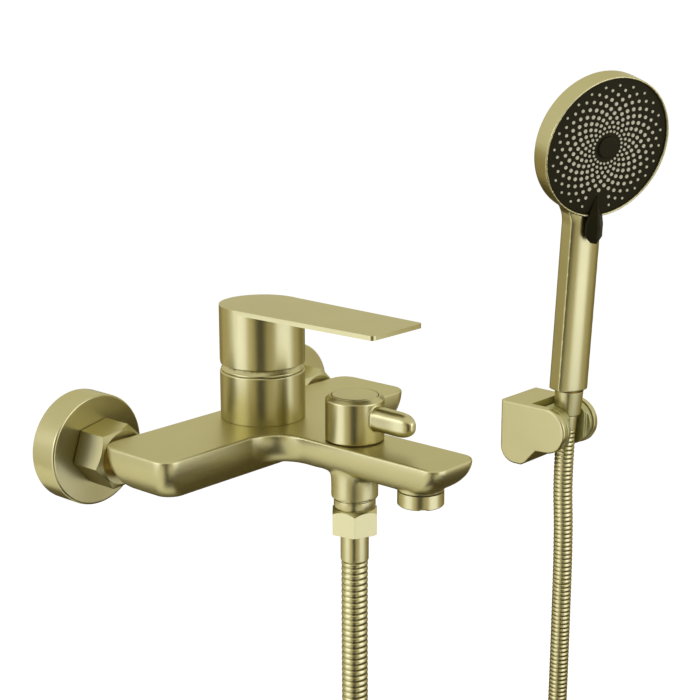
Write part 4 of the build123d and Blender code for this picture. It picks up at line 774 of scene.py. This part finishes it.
class MIXER_OT_stage(bpy.types.Operator):
    """Floor, soft studio light and the camera"""

    bl_idname = "mixer.stage"
    bl_label = "Stage"

    def execute(self, context):
        scene = context.scene
        data = bpy.data.cameras.new("studio camera")
        data.sensor_width = SENSOR_MM
        data.lens = FOCAL_PIXELS / IMAGE_WIDTH * SENSOR_MM
        data.clip_start, data.clip_end = 0.05, 100
        camera = bpy.data.objects.new("studio camera", data)
        scene.collection.objects.link(camera)
        a, e = CAMERA_AZIMUTH, CAMERA_ELEVATION
        back = Vector((math.sin(a) * math.cos(e), -math.cos(a) * math.cos(e), math.sin(e)))
        camera.location = CAMERA_TARGET + back * CAMERA_DISTANCE
        camera.rotation_mode = "QUATERNION"
        camera.rotation_quaternion = (-back).to_track_quat("-Z", "Y")
        scene.camera = camera
        work = bmesh.new()
        bmesh.ops.create_grid(work, x_segments=1, y_segments=1, size=FLOOR_HALF_SIZE)
        mesh = bpy.data.meshes.new("studio floor")
        work.to_mesh(mesh)
        work.free()
        floor = bpy.data.objects.new("studio floor", mesh)
        floor.location.z = cad_box[0].z - FLOOR_DROP
        scene.collection.objects.link(floor)
        mesh.materials.append(self.floor_material())
        self.world(scene)
        for name, turn, distance, height, size, level in LAMPS:
            self.lamp(name, turn, distance, height, size, level)
        for name, turn, distance, height, size, colour, level, flat in CARDS:
            self.card(name, turn, distance, height, size, colour, level, flat)
        scene.view_settings.view_transform = "Standard"
        return {"FINISHED"}

    def around(self, turn, distance, height):
        """A place round the mixer, by its angle from the camera's side towards the right."""
        angle = CAMERA_AZIMUTH - math.pi / 2 + math.radians(turn)
        y = RING_CENTRE_Y + distance * math.sin(angle)
        return Vector((distance * math.cos(angle), y, height))

    def lamp(self, name, turn, distance, height, size, level):
        """A rectangular soft lamp; the metal shows the cards in its place."""
        light = bpy.data.lights.new(name, "AREA")
        light.shape = "RECTANGLE"
        light.size, light.size_y = size
        light.energy = level * math.pi * size[0] * size[1]
        lamp = bpy.data.objects.new(name, light)
        lamp.location = self.around(turn, distance, height)
        lamp.rotation_mode = "QUATERNION"
        lamp.rotation_quaternion = (AIM - lamp.location).to_track_quat("-Z", "Y")
        lamp.visible_glossy = False
        bpy.context.scene.collection.objects.link(lamp)

    def card(self, name, turn, distance, height, size, colour, level, flat):
        """A card of an even brightness that shiny surfaces show, and that casts no shadow."""
        mesh = bpy.data.meshes.new(name)
        work = bmesh.new()
        bmesh.ops.create_grid(work, x_segments=1, y_segments=1, size=0.5)
        bmesh.ops.scale(work, verts=work.verts, vec=(size[0], size[1], 1))
        work.to_mesh(mesh)
        work.free()
        material, tree = new_material(name)
        glow = add_node(
            tree, "ShaderNodeEmission", [("Color", linear(colour)), ("Strength", level)]
        )
        add_node(tree, "ShaderNodeOutputMaterial", links=(("Surface", glow.outputs[0]),))
        mesh.materials.append(material)
        card = bpy.data.objects.new(name, mesh)
        card.location = self.around(turn, distance, height)
        aim = Vector((0, RING_CENTRE_Y, height)) - card.location
        if flat:
            card.rotation_euler = (0, 0, math.atan2(aim.y, aim.x))
        else:
            card.rotation_mode = "QUATERNION"
            card.rotation_quaternion = aim.to_track_quat("-Z", "Y")
        card.visible_camera = False
        card.visible_diffuse = False
        card.visible_transmission = False
        card.visible_shadow = False
        bpy.context.scene.collection.objects.link(card)

    def looked_at(self, tree):
        """One where the camera, or a shiny or a clear surface, looks; else nought."""
        path = add_node(tree, "ShaderNodeLightPath")
        seen = path.outputs["Is Camera Ray"]
        for kind in ("Is Glossy Ray", "Is Transmission Ray"):
            either = add_node(
                tree, "ShaderNodeMath", [("operation", "MAXIMUM")],
                [(0, seen), (1, path.outputs[kind])],
            )
            seen = either.outputs[0]
        return seen

    def floor_material(self):
        """Painted pale floor, lifted to white where the camera or a shiny surface looks at it."""
        material, tree = new_material("painted studio floor")
        seen = self.looked_at(tree)
        lift = add_node(
            tree, "ShaderNodeMath", [("operation", "MULTIPLY"), (1, FLOOR_LIFT)], [(0, seen)]
        )
        paint = add_node(
            tree, "ShaderNodeBsdfPrincipled",
            [("Base Color", linear("#f4f4f4")), ("Roughness", 0.9),
             ("Emission Color", linear("#ffffff"))],
            [("Emission Strength", lift.outputs[0])],
        )
        add_node(tree, "ShaderNodeOutputMaterial", links=(("Surface", paint.outputs[0]),))
        return material

    def world(self, scene):
        """Even grey room light; white where the camera sees past the floor."""
        world = bpy.data.worlds.new("studio room")
        world.use_nodes = True
        tree = world.node_tree
        tree.nodes.clear()
        seen = self.looked_at(tree)
        level = add_node(
            tree, "ShaderNodeMapRange", [("To Min", ROOM_LIGHT), ("To Max", ROOM_SEEN)],
            [("Value", seen)],
        )
        light = add_node(
            tree, "ShaderNodeBackground", [("Color", linear("#ffffff"))],
            [("Strength", level.outputs[0])],
        )
        add_node(tree, "ShaderNodeOutputWorld", links=(("Surface", light.outputs[0]),))
        scene.world = world


OPERATORS = (
    MIXER_OT_wall_unions, MIXER_OT_body, MIXER_OT_lever, MIXER_OT_diverter, MIXER_OT_outlets,
    MIXER_OT_bracket, MIXER_OT_handset, MIXER_OT_spray_face, MIXER_OT_hose, MIXER_OT_stage,
)


class MIXER_PT_panel(bpy.types.Panel):
    """Sidebar panel that lists the steps and the values"""

    bl_idname = "MIXER_PT_panel"
    bl_label = "Bath Mixer"
    bl_space_type = "VIEW_3D"
    bl_region_type = "UI"
    bl_category = "Bath Mixer"

    def draw(self, context):
        for group in (context.scene.mixer_sizes, context.scene.mixer_finish):
            for name in group.bl_rna.properties.keys():
                if name not in ("rna_type", "name"):
                    self.layout.prop(group, name)
        for operator in OPERATORS:
            self.layout.operator(operator.bl_idname)


CLASSES = (MixerFinish, MixerSizes, *OPERATORS, MIXER_PT_panel)


def register():
    """Adds the classes, and the values that the scene holds."""
    for cls in CLASSES:
        bpy.utils.register_class(cls)
    bpy.types.Scene.mixer_finish = PointerProperty(type=MixerFinish)
    bpy.types.Scene.mixer_sizes = PointerProperty(type=MixerSizes)


def unregister():
    """Takes away the values and the classes."""
    del bpy.types.Scene.mixer_sizes
    del bpy.types.Scene.mixer_finish
    for cls in reversed(CLASSES):
        bpy.utils.unregister_class(cls)


def main():
    """Registers the classes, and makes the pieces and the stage."""
    register()
    bpy.ops.mixer.wall_unions()
    bpy.ops.mixer.body()
    bpy.ops.mixer.lever()
    bpy.ops.mixer.diverter()
    bpy.ops.mixer.outlets()
    bpy.ops.mixer.bracket()
    bpy.ops.mixer.handset()
    bpy.ops.mixer.spray_face()
    bpy.ops.mixer.hose()
    bpy.ops.mixer.stage()


if __name__ == "__main__":
    main()
